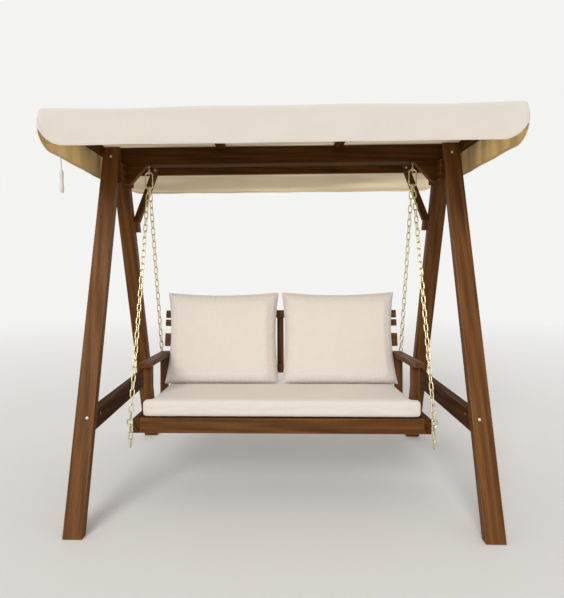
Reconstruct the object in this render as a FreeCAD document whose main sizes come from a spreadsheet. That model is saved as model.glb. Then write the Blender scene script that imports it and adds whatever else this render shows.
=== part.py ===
import FreeCAD, Part
import math
import os
import re
import Sketcher
from FreeCAD import Placement, Rotation, Vector

# A garden swing for two under a cloth canopy. X runs to the right, Y to the rear, Z up,
# and the origin is on the ground in the middle. Lengths are millimetres, angles degrees.

SIZES = [
    # two A-frames and the beam between them
    ("leg_width", 90),
    ("leg_thickness", 45),
    ("leg_lean", 18.3),
    ("base_depth", 1390),
    ("side_clearance", 186),
    ("beam_height", 96),
    ("batten_seat", 80),
    ("beam_thickness", 90),
    ("beam_underside", 1788),
    ("rail_height", 95),
    ("rail_thickness", 45),
    ("rail_underside", 434),
    ("collar_length", 210),
    ("collar_height", 108),
    ("collar_thickness", 23),
    ("gusset_width", 112),
    ("gusset_height", 105),
    ("gusset_thickness", 45),
    ("gusset_foot", 14),
    ("wood_edge", 3),
    # canopy frame, all of it tilted down to the rear
    ("canopy_tilt", 1.4),
    ("canopy_front", 726),
    ("canopy_rear", 373),
    ("canopy_rail_height", 50),
    ("canopy_rail_thickness", 32),
    ("side_rail_height", 45),
    ("side_rail_thickness", 36),
    ("batten_width", 50),
    ("batten_thickness", 18),
    ("batten_spacing", 650),
    ("brace_width", 42),
    ("brace_thickness", 25),
    ("brace_foot_height", 1484),
    ("brace_foot_inset", 59),
    ("brace_head_inset", 129),
    ("block_height", 58),
    ("block_thickness", 30),
    # canopy cloth
    ("cloth_thickness", 1.6),
    ("cloth_clearance", 0.3),
    ("cloth_side_slack", 26),
    ("cloth_end_slack", 9),
    ("cloth_edge", 12),
    ("valance_drop", 163),
    ("rear_valance_extra", 20),
    ("valance_corner", 112),
    ("valance_wave", 7),
    ("fold_length", 140),
    ("cord_diameter", 4.5),
    ("cord_drop", 145),
    ("toggle_length", 104),
    ("toggle_diameter", 18),
    # hooks, eyes and chains
    ("hang_inset", 2),
    ("eye_wire", 6),
    ("eye_inner", 18),
    ("eye_drop", 32),
    ("eye_spare", 4),
    ("hook_wire", 8),
    ("hook_height", 96),
    ("hook_width", 48),
    ("hook_corner", 14),
    ("hook_stub", 5),
    ("ear_lift", 4.5),
    ("ear_radius", 3.4),
    ("ear_outer", 3.6),
    ("ear_inner", 2.2),
    ("tongue_half", 2.0),
    ("tongue_radius", 3.0),
    ("gate_wire", 7),
    ("gate_lift", 3.8),
    ("gate_gap", 0.5),
    ("gate_pin", 2.4),
    ("pin_clearance", 0.05),
    ("chain_wire", 6),
    ("chain_width", 25),
    ("chain_pitch", 38),
    ("chain_gap", 0.3),
    ("chain_offset", 4.6),
    ("twist_links", 4),
    ("tail_links", 3),
    ("ring_wire", 6.5),
    ("ring_outer", 40),
    ("ring_turn", 334),
    ("ring_shank", 34),
    ("front_ring_place", 26),
    ("front_ring_height", 48),
    ("rear_ring_height", 53),
    # seat, tilted back as it hangs
    ("seat_front", 381),
    ("seat_underside", 376),
    ("seat_tilt", 2.8),
    ("seat_half_width", 711),
    ("seat_rail_height", 75),
    ("seat_rail_length", 595),
    ("seat_side_thickness", 38),
    ("front_rail_thickness", 34),
    ("rear_rail_place", 530),
    ("bearer_width", 30),
    ("bearer_height", 40),
    ("slat_count", 7),
    ("slat_width", 54),
    ("slat_thickness", 18),
    ("slat_gap", 10),
    ("slat_rise", 6),
    ("post_width", 42),
    ("post_depth", 40),
    ("front_post_place", 64),
    ("rear_post_place", 416),
    ("post_foot", 8),
    ("arm_width", 58),
    ("arm_thickness", 26),
    ("arm_length", 465),
    ("arm_front", 19),
    ("arm_height", 354),
    ("arm_overhang", 8),
    ("arm_chamfer", 15),
    # back, reclined on the seat
    ("back_recline", 12),
    ("back_foot", 484),
    ("back_height", 603),
    ("back_overhang", 3),
    ("low_back_inset", 13),
    ("stile_width", 40),
    ("stile_thickness", 29),
    ("outer_stile_inset", 33),
    ("inner_stile_side", 111),
    ("back_board_thickness", 20),
    ("back_rail_height", 46),
    ("low_rail_foot", 221),
    ("narrow_slat_height", 39),
    ("wide_slat_height", 79),
    ("board_gap", 12),
    ("wide_gap", 46),
    # cushions
    ("cushion_clearance", 0.3),
    ("seat_cushion_thickness", 87),
    ("seat_cushion_crown", 7),
    ("seat_cushion_depth", 463),
    ("seat_cushion_inset", 5),
    ("cushion_ear_inset", 12),
    ("seat_cushion_ear", 56),
    ("back_cushion_side", 8),
    ("back_cushion_inset", 1),
    ("back_cushion_height", 534),
    ("back_cushion_thickness", 147),
    ("back_cushion_foot", 165),
    ("back_cushion_pull", 14),
    ("cushion_round", 21),
    # bolts, nuts and screws
    ("bolt_diameter", 8),
    ("bolt_head", 18),
    ("bolt_head_height", 6),
    ("bolt_sink", 5),
    ("rail_bolt_reach", 62),
    ("brace_bolt_length", 34),
    ("barrel_diameter", 14),
    ("barrel_length", 40),
    ("nut_width", 16),
    ("nut_height", 8),
    ("screw_diameter", 5),
    ("screw_head", 10),
    ("screw_head_height", 3),
    ("screw_sink", 4),
    ("short_screw", 24),
    ("middle_screw", 45),
    ("long_screw", 60),
    ("bore_clearance", 0.15),
    ("overrun", 20),
]

PLACES = [
    ("seat_outer", "seat_half_width + seat_side_thickness"),
    ("post_inner", "seat_half_width - post_width"),
    ("frame_half_span", "seat_outer + side_clearance"),
    ("hang_half_span", "seat_outer - hang_inset"),
    ("brace_foot_side", "frame_half_span - brace_foot_inset"),
    ("brace_head_side", "frame_half_span - brace_head_inset"),
    ("back_half_width", "seat_half_width + back_overhang"),
    ("low_back_half_width", "seat_half_width - low_back_inset"),
    ("outer_stile_side", "post_inner - outer_stile_inset"),
    ("seat_cushion_half", "post_inner - seat_cushion_inset"),
    ("seat_cushion_ear_half", "seat_half_width - cushion_ear_inset"),
    ("back_cushion_width", "post_inner - back_cushion_inset - back_cushion_side"),
    ("lean_slope", "tan(leg_lean * 1deg)"),
    ("leg_run", "leg_thickness / cos(leg_lean * 1deg)"),
    ("half_base", "base_depth / 2"),
    ("leg_inner", "frame_half_span - leg_width / 2"),
    ("leg_outer", "frame_half_span + leg_width / 2"),
    ("half_beam", "beam_thickness / 2"),
    ("beam_top", "beam_underside + beam_height"),
    ("beam_middle", "beam_underside + batten_seat / 2"),
    ("batten_seat_height", "beam_underside + batten_seat"),
    ("inner_base", "half_base - leg_run"),
    ("notch_foot", "(inner_base - half_beam) / lean_slope"),
    ("leg_top_face", "half_base - beam_top * lean_slope"),
    ("rail_top", "rail_underside + rail_height"),
    ("rail_low_end", "inner_base - rail_underside * lean_slope"),
    ("rail_high_end", "inner_base - rail_top * lean_slope"),
    ("rail_bolt_height", "rail_underside + rail_height * 2 / 3"),
    ("collar_inner", "leg_inner - collar_thickness"),
    ("collar_underside", "beam_underside - collar_height"),
    ("gusset_tip", "collar_inner - gusset_width"),
    ("rear_rail_face", "canopy_rear - canopy_rail_thickness"),
    ("side_rail_outer", "leg_outer + side_rail_thickness"),
    ("side_rail_foot", "batten_thickness - side_rail_height"),
    ("block_foot_height", "brace_foot_height - block_height"),
    ("block_top_inner", "inner_base - brace_foot_height * lean_slope"),
    ("block_low_inner", "inner_base - block_foot_height * lean_slope"),
    ("slat_top", "seat_rail_height + slat_rise"),
    ("slat_low", "slat_top - slat_thickness"),
    ("slat_start", "front_rail_thickness + slat_gap / 5"),
    ("slat_step", "slat_width + slat_gap"),
    ("bearer_low", "slat_low - bearer_height"),
    ("slat_reach", "post_inner - slat_gap / 5"),
    ("arm_inner", "post_inner - arm_overhang"),
    ("arm_outer", "arm_inner + arm_width"),
    ("arm_low", "arm_height - arm_thickness"),
    ("arm_end", "arm_front + arm_length"),
    ("outer_bearer_side", "outer_stile_side - stile_width / 2 - bearer_width / 2"),
    ("inner_bearer_side", "inner_stile_side + stile_width / 2 + bearer_width / 2"),
    ("back_foot_y", "back_foot * cos(seat_tilt * 1deg) - seat_front"),
    ("back_foot_z", "seat_underside - back_foot * sin(seat_tilt * 1deg)"),
    ("back_lean", "seat_tilt + back_recline"),
    ("slats_inner", "inner_stile_side - stile_width / 2"),
    ("top_rail_foot", "back_height - back_rail_height"),
    ("upper_slat_foot", "top_rail_foot - board_gap - narrow_slat_height"),
    ("wide_slat_foot", "upper_slat_foot - wide_gap - wide_slat_height"),
    ("lower_slat_foot", "low_rail_foot + back_rail_height + board_gap"),
    ("eye_height", "beam_underside - eye_drop"),
    ("pivot_height", "eye_height - eye_inner / 2 + hook_wire / 2 + chain_gap"),
]

os.makedirs("parts", exist_ok=True)
doc = FreeCAD.newDocument("canopy_swing")
sizes = doc.addObject("Spreadsheet::Sheet", "Sizes")
places = doc.addObject("Spreadsheet::Sheet", "Places")
SHEET_OF = {name: "Sizes" for name, _ in SIZES}
SHEET_OF.update({name: "Places" for name, _ in PLACES})
WORD = re.compile(r"[a-z]+(?:_[a-z]+)+")


def bind(text):
    """Point each named size in a formula at the sheet that holds it."""
    return WORD.sub(lambda found: SHEET_OF[found.group()] + "." + found.group(), text)


for row, (name, value) in enumerate(SIZES, start=1):
    sizes.set(f"A{row}", name)
    sizes.set(f"B{row}", str(value))
    sizes.setAlias(f"B{row}", name)
doc.recompute()
for row, (name, formula) in enumerate(PLACES, start=1):
    places.set(f"A{row}", name)
    places.setAlias(f"B{row}", name)
    places.set(f"B{row}", "=" + bind(formula))
    doc.recompute()


def size(name):
    """The present value of a named size or place."""
    sheet = sizes if SHEET_OF[name] == "Sizes" else places
    return float(sheet.get(name))


SIDES = (("left", -1), ("right", 1))
RIGHT = Vector(1, 0, 0)
REAR = Vector(0, 1, 0)
UP = Vector(0, 0, 1)
NODES = {}
TIMBER = set()
BORES = []
HOUSINGS = {}

# The frames that pieces are drawn in: tilted canopy, tilted seat, reclined back.
FRAMES = {
    "canopy": ("half_beam", "batten_seat_height", "canopy_tilt"),
    "seat": ("-seat_front", "seat_underside", "seat_tilt"),
    "back": ("back_foot_y", "back_foot_z", "back_lean"),
}


def frame_placement(frame):
    """The placement of one of the frames, as numbers."""
    if frame == "ground":
        return Placement()
    along, up, angle = FRAMES[frame]
    ahead = -size(along[1:]) if along.startswith("-") else size(along)
    return Placement(Vector(0, ahead, size(up)), Rotation(-RIGHT, size(angle)))


def into_frame(item, frame):
    """Tie an object's placement to one of the frames."""
    if frame == "ground":
        return
    along, up, angle = FRAMES[frame]
    item.Placement = frame_placement(frame)
    item.setExpression("Placement.Base.y", bind(along))
    item.setExpression("Placement.Base.z", bind(up))
    item.setExpression("Placement.Rotation.Angle", bind(angle))


def outline(body, plane, corners, start):
    """A closed sketch whose corners are all tied to the sheet."""
    role = {item.Role: item for item in body.Origin.OriginFeatures}
    sketch = body.newObject("Sketcher::SketchObject", "outline")
    sketch.AttachmentSupport = [(role[plane + "_Plane"], "")]
    sketch.MapMode = "FlatFace"
    count = len(corners)
    turns = [2 * math.pi * i / count for i in range(count)]
    ring = [Vector(math.cos(turn), math.sin(turn), 0) for turn in turns]
    for i in range(count):
        sketch.addGeometry(Part.LineSegment(ring[i], ring[(i + 1) % count]), False)
    for i in range(count):
        sketch.addConstraint(Sketcher.Constraint("Coincident", i, 2, (i + 1) % count, 1))
    for i, corner in enumerate(corners):
        for kind, formula in zip(("DistanceX", "DistanceY"), corner):
            index = sketch.addConstraint(Sketcher.Constraint(kind, -1, 1, i, 1, 1.0))
            sketch.setExpression(f"Constraints[{index}]", bind(formula))
    sketch.setExpression("AttachmentOffset.Base.z", bind(start))
    sketch.Visibility = False
    return sketch


def board(node, plane, corners, start, length, frame="ground", edge="wood_edge"):
    """A board: an outline drawn from start by length across its plane, with eased edges."""
    body = doc.addObject("PartDesign::Body", node + "_blank")
    if plane == "XZ":
        start = f"-({start}) - ({length})"
    sketch = outline(body, plane, corners, start)
    pad = body.newObject("PartDesign::Pad", "pad")
    pad.Profile = sketch
    pad.setExpression("Length", bind(length))
    ease = body.newObject("PartDesign::Fillet", "ease")
    ease.Base = (pad, [""])
    ease.UseAllEdges = True
    ease.setExpression("Radius", bind(edge))
    into_frame(body, frame)
    NODES.setdefault(node, []).append(body)
    TIMBER.add(node)


def rectangle(low_u, low_v, high_u, high_v):
    """The four corners of a rectangle, as formulas."""
    return [(low_u, low_v), (high_u, low_v), (high_u, high_v), (low_u, high_v)]


def turned(label, profile):
    """A round piece: a profile of radius and height turned about its upright axis."""
    body = doc.addObject("PartDesign::Body", label)
    sketch = outline(body, "XZ", profile, "0")
    turn = body.newObject("PartDesign::Revolution", "turn")
    turn.Profile = sketch
    turn.ReferenceAxis = (sketch, ["V_Axis"])
    turn.Angle = 360
    return body


def feature(node, shape, placement=None):
    """A piece whose shape is worked out from the sheet's values."""
    item = doc.addObject("Part::Feature", node + "_shape")
    item.Shape = shape
    if placement is not None:
        item.Placement = placement
    NODES.setdefault(node, []).append(item)


def axes(across, along, up, base=Vector()):
    """A placement from the three directions that a piece's own axes take."""
    return Placement(base, Rotation(across, along, up, "ZXY"))


def moved(shape, placement):
    """A copy of a shape carried by a placement."""
    copy = shape.copy()
    copy.Placement = placement.multiply(copy.Placement)
    return copy


def segment(start, end):
    """A straight edge."""
    return Part.LineSegment(start, end).toShape()


def bow(start, middle, end):
    """An arc through three points."""
    return Part.Arc(start, middle, end).toShape()


# How far a quarter circle's middle lies from its corner, on each axis, for a radius of one.
ARC_DIP_SHARE = 1 - math.sqrt(0.5)


# the two A-frames, the beam and what ties them together

def legs():
    """Front and rear legs, cut plumb where they hold the beam and level at the ground."""
    for end, way in (("front", "-"), ("rear", "")):
        corners = [
            (way + "half_base", "0"),
            (way + "inner_base", "0"),
            (way + "half_beam", "notch_foot"),
            (way + "half_beam", "beam_top"),
            (way + "leg_top_face", "beam_top"),
        ]
        for side, sign in SIDES:
            start = "-leg_outer" if sign < 0 else "leg_inner"
            board(f"{end}_leg_{side}", "YZ", corners, start, "leg_width")


def frame_rails():
    """The top beam, the low side rails, the collar boards and the corner gussets."""
    beam_end = rectangle("-half_beam", "beam_underside", "half_beam", "beam_top")
    board("top_beam", "YZ", beam_end, "-leg_outer", "2 * leg_outer")
    rail_side = [
        ("-rail_low_end", "rail_underside"),
        ("rail_low_end", "rail_underside"),
        ("rail_high_end", "rail_top"),
        ("-rail_high_end", "rail_top"),
    ]
    collar_side = rectangle("-collar_length / 2", "collar_underside", "collar_length / 2", "beam_underside")
    for side, sign in SIDES:
        way = "-" if sign < 0 else ""
        start = "-leg_inner - rail_thickness" if sign < 0 else "leg_inner"
        board(f"lower_rail_{side}", "YZ", rail_side, start, "rail_thickness")
        start = "-leg_inner" if sign < 0 else "collar_inner"
        board(f"collar_board_{side}", "YZ", collar_side, start, "collar_thickness")
        gusset = [
            (way + "collar_inner", "beam_underside"),
            (way + "gusset_tip", "beam_underside"),
            (way + "(collar_inner - gusset_foot)", "beam_underside - gusset_height"),
            (way + "collar_inner", "beam_underside - gusset_height"),
        ]
        board(f"corner_gusset_{side}", "XZ", gusset, "-gusset_thickness / 2", "gusset_thickness", edge="wood_edge / 3")


# the canopy frame and its braces

def batten_housing(sign):
    """The room that one batten has in the beam, open at its top."""
    clear = size("bore_clearance")
    spare = size("overrun")
    wide = size("batten_width") + 2 * clear
    base = Vector(sign * size("batten_spacing") / 2 - wide / 2, -size("beam_thickness") - spare, 0)
    room = Part.makeBox(wide, size("beam_thickness") + 2 * spare, size("batten_thickness") + spare, base)
    return moved(room, frame_placement("canopy"))


def canopy_frame():
    """Front and rear rails between two side rails, with two battens housed in the beam."""
    low_rail = rectangle("-leg_outer", "-canopy_rail_height", "leg_outer", "0")
    board("canopy_front_rail", "XZ", low_rail, "-canopy_front", "canopy_rail_thickness", "canopy")
    board("canopy_rear_rail", "XZ", low_rail, "rear_rail_face", "canopy_rail_thickness", "canopy")
    side_end = rectangle("-canopy_front", "side_rail_foot", "canopy_rear", "batten_thickness")
    batten_side = rectangle("-canopy_front", "0", "canopy_rear", "batten_thickness")
    for side, sign in SIDES:
        start = "-side_rail_outer" if sign < 0 else "leg_outer"
        board(f"canopy_side_rail_{side}", "YZ", side_end, start, "side_rail_thickness", "canopy")
        start = f"{sign} * batten_spacing / 2 - batten_width / 2"
        board(f"canopy_batten_{side}", "YZ", batten_side, start, "batten_width", "canopy")
    HOUSINGS["top_beam"] = [batten_housing(sign) for _, sign in SIDES]


def brace_line(sign):
    """Foot and head of a knee brace's middle line."""
    foot_y = size("block_top_inner") + size("leg_run") / 2
    foot = Vector(sign * size("brace_foot_side"), foot_y, size("brace_foot_height"))
    middle = Vector(0, size("rear_rail_face"), -size("canopy_rail_height") / 2)
    head = frame_placement("canopy").multVec(middle)
    head.x = sign * size("brace_head_side")
    return foot, head


def knee_braces():
    """Braces from blocks on the rear legs up to the canopy's rear rail, cut to fit both."""
    width = size("brace_width")
    thickness = size("brace_thickness")
    spare = 2 * width
    canopy = frame_placement("canopy")
    corners = [
        ("block_low_inner", "block_foot_height"),
        ("block_low_inner + leg_run", "block_foot_height"),
        ("block_top_inner + leg_run", "brace_foot_height"),
        ("block_top_inner", "brace_foot_height"),
    ]
    for side, sign in SIDES:
        foot, head = brace_line(sign)
        long_way = (head - foot).normalize()
        thin_way = long_way.cross(RIGHT).normalize()
        wide_way = thin_way.cross(long_way)
        reach = (head - foot).Length + 2 * spare
        blank = Part.makeBox(width, thickness, reach, Vector(-width / 2, -thickness / 2, -spare))
        blank = blank.makeFillet(size("wood_edge"), blank.Edges)
        blank.Placement = axes(wide_way, thin_way, long_way, foot)
        half = reach / 2
        block = Part.makeBox(reach, reach, reach)
        below = moved(block, Placement(Vector(foot.x - half, -half, foot.z - reach), Rotation()))
        leg_face = size("leg_inner") if sign > 0 else -size("leg_inner") - reach
        beside = moved(block, Placement(Vector(leg_face, -half, foot.z - spare), Rotation()))
        behind_base = Vector(head.x - half, size("rear_rail_face"), -half)
        behind = moved(block, canopy.multiply(Placement(behind_base, Rotation())))
        above = moved(block, canopy.multiply(Placement(Vector(head.x - half, -half, 0), Rotation())))
        feature(f"knee_brace_{side}", blank.cut([below, beside, behind, above]).Solids[0])
        TIMBER.add(f"knee_brace_{side}")
        start = "-leg_inner" if sign < 0 else "leg_inner - block_thickness"
        board(f"brace_block_{side}", "YZ", corners, start, "block_thickness")


# the canopy's cloth with its four valances, and the tie cord on it

def roof_cloth(grow):
    """The block under the cloth, grown by its thickness for the outside, down to the valances."""
    half, front, rear = cloth_reach()
    inset = size("cloth_thickness") - grow
    top = size("batten_thickness") + size("cloth_clearance") + grow
    low = top + inset - 2 * size("cloth_edge")
    base = Vector(inset - half, front + inset, low)
    block = Part.makeBox(2 * (half - inset), rear - front - 2 * inset, top - low, base)
    above = [edge for edge in block.Edges if edge.BoundBox.ZMax > low + size("cloth_edge")]
    return block.makeFillet(size("cloth_edge") - inset, above)


def fold_step(wide):
    """How many folds a valance has, in and out, and how long each is."""
    count = 2 * max(1, round(wide / size("fold_length") / 2))
    return count, wide / count


def fold_line(wide, height, wave):
    """Edges along a valance at one height, in and out by the wave, then back one thickness in."""
    count, step = fold_step(wide)
    thick = size("cloth_thickness")
    edges = []
    for depth, order in ((0, range(count)), (thick, reversed(range(count)))):
        for i in order:
            ends = [Vector(i * step, depth, height), Vector((i + 1) * step, depth, height)]
            middle = Vector((i + 0.5) * step, depth + wave * (1 if i % 2 else -1), height)
            if depth:
                ends.reverse()
            edges.append(bow(ends[0], middle, ends[1]) if wave else segment(*ends))
        at_end = 0 if depth else wide
        edges.append(segment(Vector(at_end, depth, height), Vector(at_end, thick - depth, height)))
    return Part.Wire(edges)


def valance(wide, tall, flat, wave):
    """A hanging panel, flat at its top, in soft folds at its hem and round at both low corners."""
    levels = [(tall, 0), (tall - flat, 0), (0, wave)]
    panel = Part.makeLoft([fold_line(wide, height, bend) for height, bend in levels], True, True)
    radius = size("valance_corner")
    dip = radius * ARC_DIP_SHARE
    spare = size("overrun")
    low = -size("cloth_clearance")

    def at(x, z):
        return Vector(x, -spare, z)

    keep = Part.Face(Part.Wire([
        segment(at(wide, tall), at(0, tall)),
        segment(at(0, tall), at(0, radius + low)),
        bow(at(0, radius + low), at(dip, dip + low), at(radius, low)),
        segment(at(radius, low), at(wide - radius, low)),
        bow(at(wide - radius, low), at(wide - dip, dip + low), at(wide, radius + low)),
        segment(at(wide, radius + low), at(wide, tall)),
    ]))
    return panel.common(keep.extrude(REAR * 2 * spare))


def cloth_reach():
    """The cloth's outer half width, front and rear, in the canopy's frame."""
    thick = size("cloth_thickness")
    side = size("side_rail_outer") + size("cloth_side_slack") + thick
    end = size("cloth_end_slack") + thick
    return side, -size("canopy_front") - end, size("canopy_rear") + end


def canopy_cover():
    """One cloth roof whose valances hang on all four sides."""
    thick = size("cloth_thickness")
    half, front, rear = cloth_reach()
    edge = size("cloth_edge")
    hem = size("batten_thickness") + size("cloth_clearance") + thick - size("valance_drop")
    tall = size("valance_drop") - 2 * edge
    wide = 2 * (half - edge)
    deep = rear - front - 2 * edge
    rail_flat = size("canopy_rail_height") + size("batten_thickness") - edge
    side_flat = size("side_rail_height") - edge
    wave = size("valance_wave")
    more = size("rear_valance_extra")
    rear_panel = valance(wide, tall + more, rail_flat, wave / 2)
    panels = [
        (RIGHT, REAR, Vector(edge - half, front, hem), valance(wide, tall, rail_flat, wave / 4)),
        (-RIGHT, -REAR, Vector(half - edge, rear, hem - more), rear_panel),
        (-REAR, RIGHT, Vector(-half, rear - edge, hem), valance(deep, tall, side_flat, wave)),
        (REAR, -RIGHT, Vector(half, front + edge, hem), valance(deep, tall, side_flat, wave)),
    ]
    hung = [moved(panel, axes(across, along, UP, base)) for across, along, base, panel in panels]
    cover = roof_cloth(thick).cut(roof_cloth(0)).fuse(hung).removeSplitter()
    feature("canopy_cover", cover.Solids[0], frame_placement("canopy"))


def path_through(points, radii):
    """Straight runs through the points, joined at each inner one by an arc tangent to both."""
    edges = []
    here = points[0]
    for before, corner, after, radius in zip(points, points[1:], points[2:], radii):
        into = (corner - before).normalize()
        out = (after - corner).normalize()
        half_turn = into.getAngle(out) / 2
        reach = radius * math.tan(half_turn)
        start = corner - into * reach
        end = corner + out * reach
        middle = corner + (out - into).normalize() * (radius / math.cos(half_turn) - radius)
        edges.append(segment(here, start))
        edges.append(bow(start, middle, end))
        here = end
    edges.append(segment(here, points[-1]))
    return Part.Wire(edges)


def tube(points, radii, thick):
    """A round rod or cord along a path, and its length."""
    path = path_through(points, radii)
    section = Part.Wire(Part.Circle(points[0], points[1] - points[0], thick / 2).toShape())
    return path.makePipeShell([section], True, False), path.Length


# The cord's way from its stitching: in from the cloth, to the rear and down, set by eye.
CORD_ROUTE = [(0, 0, 0), (12, -1, -5), (24, -2, -14), (31, -1, -28), (33, 0, -52), (33, 0.5, -91)]
BEND_SHARE = 0.45
# Shares of the toggle's radius and length, from its foot to its top.
TOGGLE_SHARES = [(0.72, 1), (1, 0.9), (1, 0.72), (0.78, 0.5), (1, 0.28), (1, 0.08), (0.6, 0)]


def tie_cord():
    """A thin cord from the inside of the left valance, with a turned toggle on its end."""
    thick = size("cord_diameter")
    half, front, rear = cloth_reach()
    edge = size("cloth_edge")
    _, step = fold_step(rear - front - 2 * edge)
    roof_top = size("batten_thickness") + size("cloth_clearance") + size("cloth_thickness")
    fold_end = front + edge + step
    stitch = Vector(size("cloth_thickness") / 2 - half, fold_end, roof_top - size("cord_drop"))
    start = frame_placement("canopy").multVec(stitch)
    points = [start + Vector(*way) for way in CORD_ROUTE]
    radii = []
    for before, corner, after in zip(points, points[1:], points[2:]):
        into = corner - before
        out = after - corner
        radii.append(BEND_SHARE * min(into.Length, out.Length) / math.tan(into.getAngle(out) / 2))
    solid, length = tube(points, radii, thick)
    full = math.pi * thick ** 2 / 4 * length
    print("cord radii", [round(radius, 1) for radius in radii], "length", round(length, 1))
    print("cord volume", round(solid.Volume, 2), "section times length", round(full, 2))
    feature("tie_cord", solid)
    profile = [("0", "-toggle_length")]
    profile += [(f"toggle_diameter / 2 * {out}", f"-toggle_length * {down}") for out, down in TOGGLE_SHARES]
    profile.append(("0", "0"))
    toggle = turned("tie_toggle_body", profile)
    toggle.Placement = Placement(points[-1], Rotation(UP, points[-2] - points[-1]))
    NODES["tie_toggle"] = [toggle]


# hooks, eyes and chains

def eye_bolts():
    """Eye bolts up through the beam, each with a collar under it; the nuts come with the others."""
    bend = (size("eye_inner") + size("eye_wire")) / 2
    shank = size("bolt_diameter") / 2
    drop = size("eye_drop")
    top = drop + size("batten_seat") + size("nut_height") + size("eye_spare")
    collar = size("nut_height") / 2
    ring = Part.makeTorus(bend, size("eye_wire") / 2)
    ring.Placement = Placement(Vector(), Rotation(REAR, 90))
    rod = Part.makeCylinder(shank, top - bend, UP * bend)
    flange = Part.makeCylinder(size("bolt_head") / 2, collar, UP * (drop - collar))
    eye = ring.fuse([rod, flange]).removeSplitter()
    bore = Part.makeCylinder(shank + size("bore_clearance"), size("beam_height") + 2, UP * (drop - 1))
    for _, sign in SIDES:
        spot = Placement(Vector(sign * size("hang_half_span"), 0, size("eye_height")), Rotation())
        feature("eye_bolts", moved(eye, spot))
        BORES.append(moved(bore, spot))


def snap_hooks():
    """Snap hooks hung in the eyes, each with a gate that turns inwards on its own pin."""
    wire = size("hook_wire")
    aside = (size("hook_width") - wire) / 2
    corner = size("hook_corner")
    deep = size("hook_height") - wire
    low = corner + size("hook_stub") - deep
    high = -corner - size("hook_stub")
    points = [
        Vector(aside, 0, low),
        Vector(aside, 0, -deep),
        Vector(-aside, 0, -deep),
        Vector(-aside, 0, 0),
        Vector(aside, 0, 0),
        Vector(aside, 0, high),
    ]
    rod, _ = tube(points, [corner] * (len(points) - 2), wire)
    pin = Vector(aside, 0, low + size("ear_lift"))
    outer = size("ear_outer")
    inner = size("ear_inner")
    ear = size("ear_radius")

    def crosswise(radius, start, end):
        """A round bar along Y through the pin's place."""
        return moved(Part.makeCylinder(radius, end - start), Placement(pin + REAR * start, Rotation(RIGHT, -90)))

    ears = []
    for start, end in ((-outer, -inner), (inner, outer)):
        ears.append(crosswise(ear, start, end))
        ears.append(Part.makeBox(2 * ear, end - start, size("ear_lift") + 1, Vector(aside - ear, start, low - 1)))
    hole = crosswise(size("gate_pin") / 2 + size("pin_clearance"), -wire, wire)
    hook = rod.fuse(ears).removeSplitter().cut(hole)
    foot = pin.z + size("gate_lift")
    rod_up = Part.makeCylinder(size("gate_wire") / 2, high - size("gate_gap") - foot, Vector(aside, 0, foot))
    half = size("tongue_half")
    tongue = size("tongue_radius")
    plate = Part.makeBox(2 * tongue, 2 * half, size("gate_lift") + 1, Vector(aside - tongue, -half, pin.z))
    joined = [crosswise(tongue, -half, half), plate, crosswise(size("gate_pin") / 2, -outer, outer)]
    gate = rod_up.fuse(joined).removeSplitter()
    for side, sign in SIDES:
        spin = Rotation(UP, 180 if sign > 0 else 0)
        place = Placement(Vector(sign * size("hang_half_span"), 0, size("pivot_height")), spin)
        feature(f"snap_hook_{side}", hook, place)
        feature(f"hook_gate_{side}", gate, place)
    print("gate pin, beside and below the pivot", round(aside, 2), round(pin.z, 2))


def ring_spots():
    """Where the seat's eye screws enter the wood, and which way they point, in the seat's frame."""
    spots = []
    for side, sign in SIDES:
        front = Vector(sign * size("seat_outer"), size("front_ring_place"), size("front_ring_height"))
        spots.append(("front", side, sign, front, RIGHT * sign))
        middle = (size("seat_half_width") + size("seat_outer")) / 2
        rear = Vector(sign * middle, size("seat_rail_length"), size("rear_ring_height"))
        spots.append(("rear", side, sign, rear, REAR))
    return spots


def seat_eyes():
    """Open eye screws on the seat's side rails, two in front and two behind."""
    wire = size("ring_wire")
    bend = (size("ring_outer") - wire) / 2
    ring = Part.makeTorus(bend, wire / 2, Vector(), UP, -180, 180, size("ring_turn"))
    ring.Placement = axes(-UP, RIGHT, -REAR, UP * (size("ring_outer") / 2))
    shank = Part.makeCylinder(wire / 2, size("ring_shank") + wire / 2, UP * -size("ring_shank"))
    eye = ring.fuse(shank).removeSplitter()
    bore = Part.makeCylinder(wire / 2 + size("bore_clearance"), size("ring_shank") + 2, UP * -size("ring_shank"))
    seat = frame_placement("seat")
    for _, _, _, point, out in ring_spots():
        spot = seat.multiply(axes(UP, out.cross(UP), out, point))
        feature("seat_eyes", moved(eye, spot))
        BORES.append(moved(bore, spot))


def chain_link(inner):
    """One upright link, its middle at the origin and its width along X."""
    wire = size("chain_wire")
    bend = (size("chain_width") - wire) / 2
    half = (inner + wire) / 2 - bend
    arch = Part.makeTorus(bend, wire / 2, Vector(), UP, -180, 180, 180)
    top = moved(arch, Placement(UP * half, Rotation(RIGHT, 90)))
    low = moved(arch, Placement(UP * -half, Rotation(RIGHT, -90)))
    runs = [Part.makeCylinder(wire / 2, 2 * half, Vector(way * bend, 0, -half)) for way in (-1, 1)]
    return top.fuse([low] + runs).removeSplitter()


def hang_links(node, link, first, down, step, turns):
    """Links one after another down a line, each turned about it by its own angle."""
    flat = (REAR - down * REAR.dot(down)).normalize()
    cross = down.cross(flat)
    for i, turn in enumerate(turns):
        angle = math.radians(turn)
        wide = flat * math.cos(angle) + cross * math.sin(angle)
        feature(node, moved(link, axes(wide, wide.cross(down), -down, first + down * (step * i))))


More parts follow.
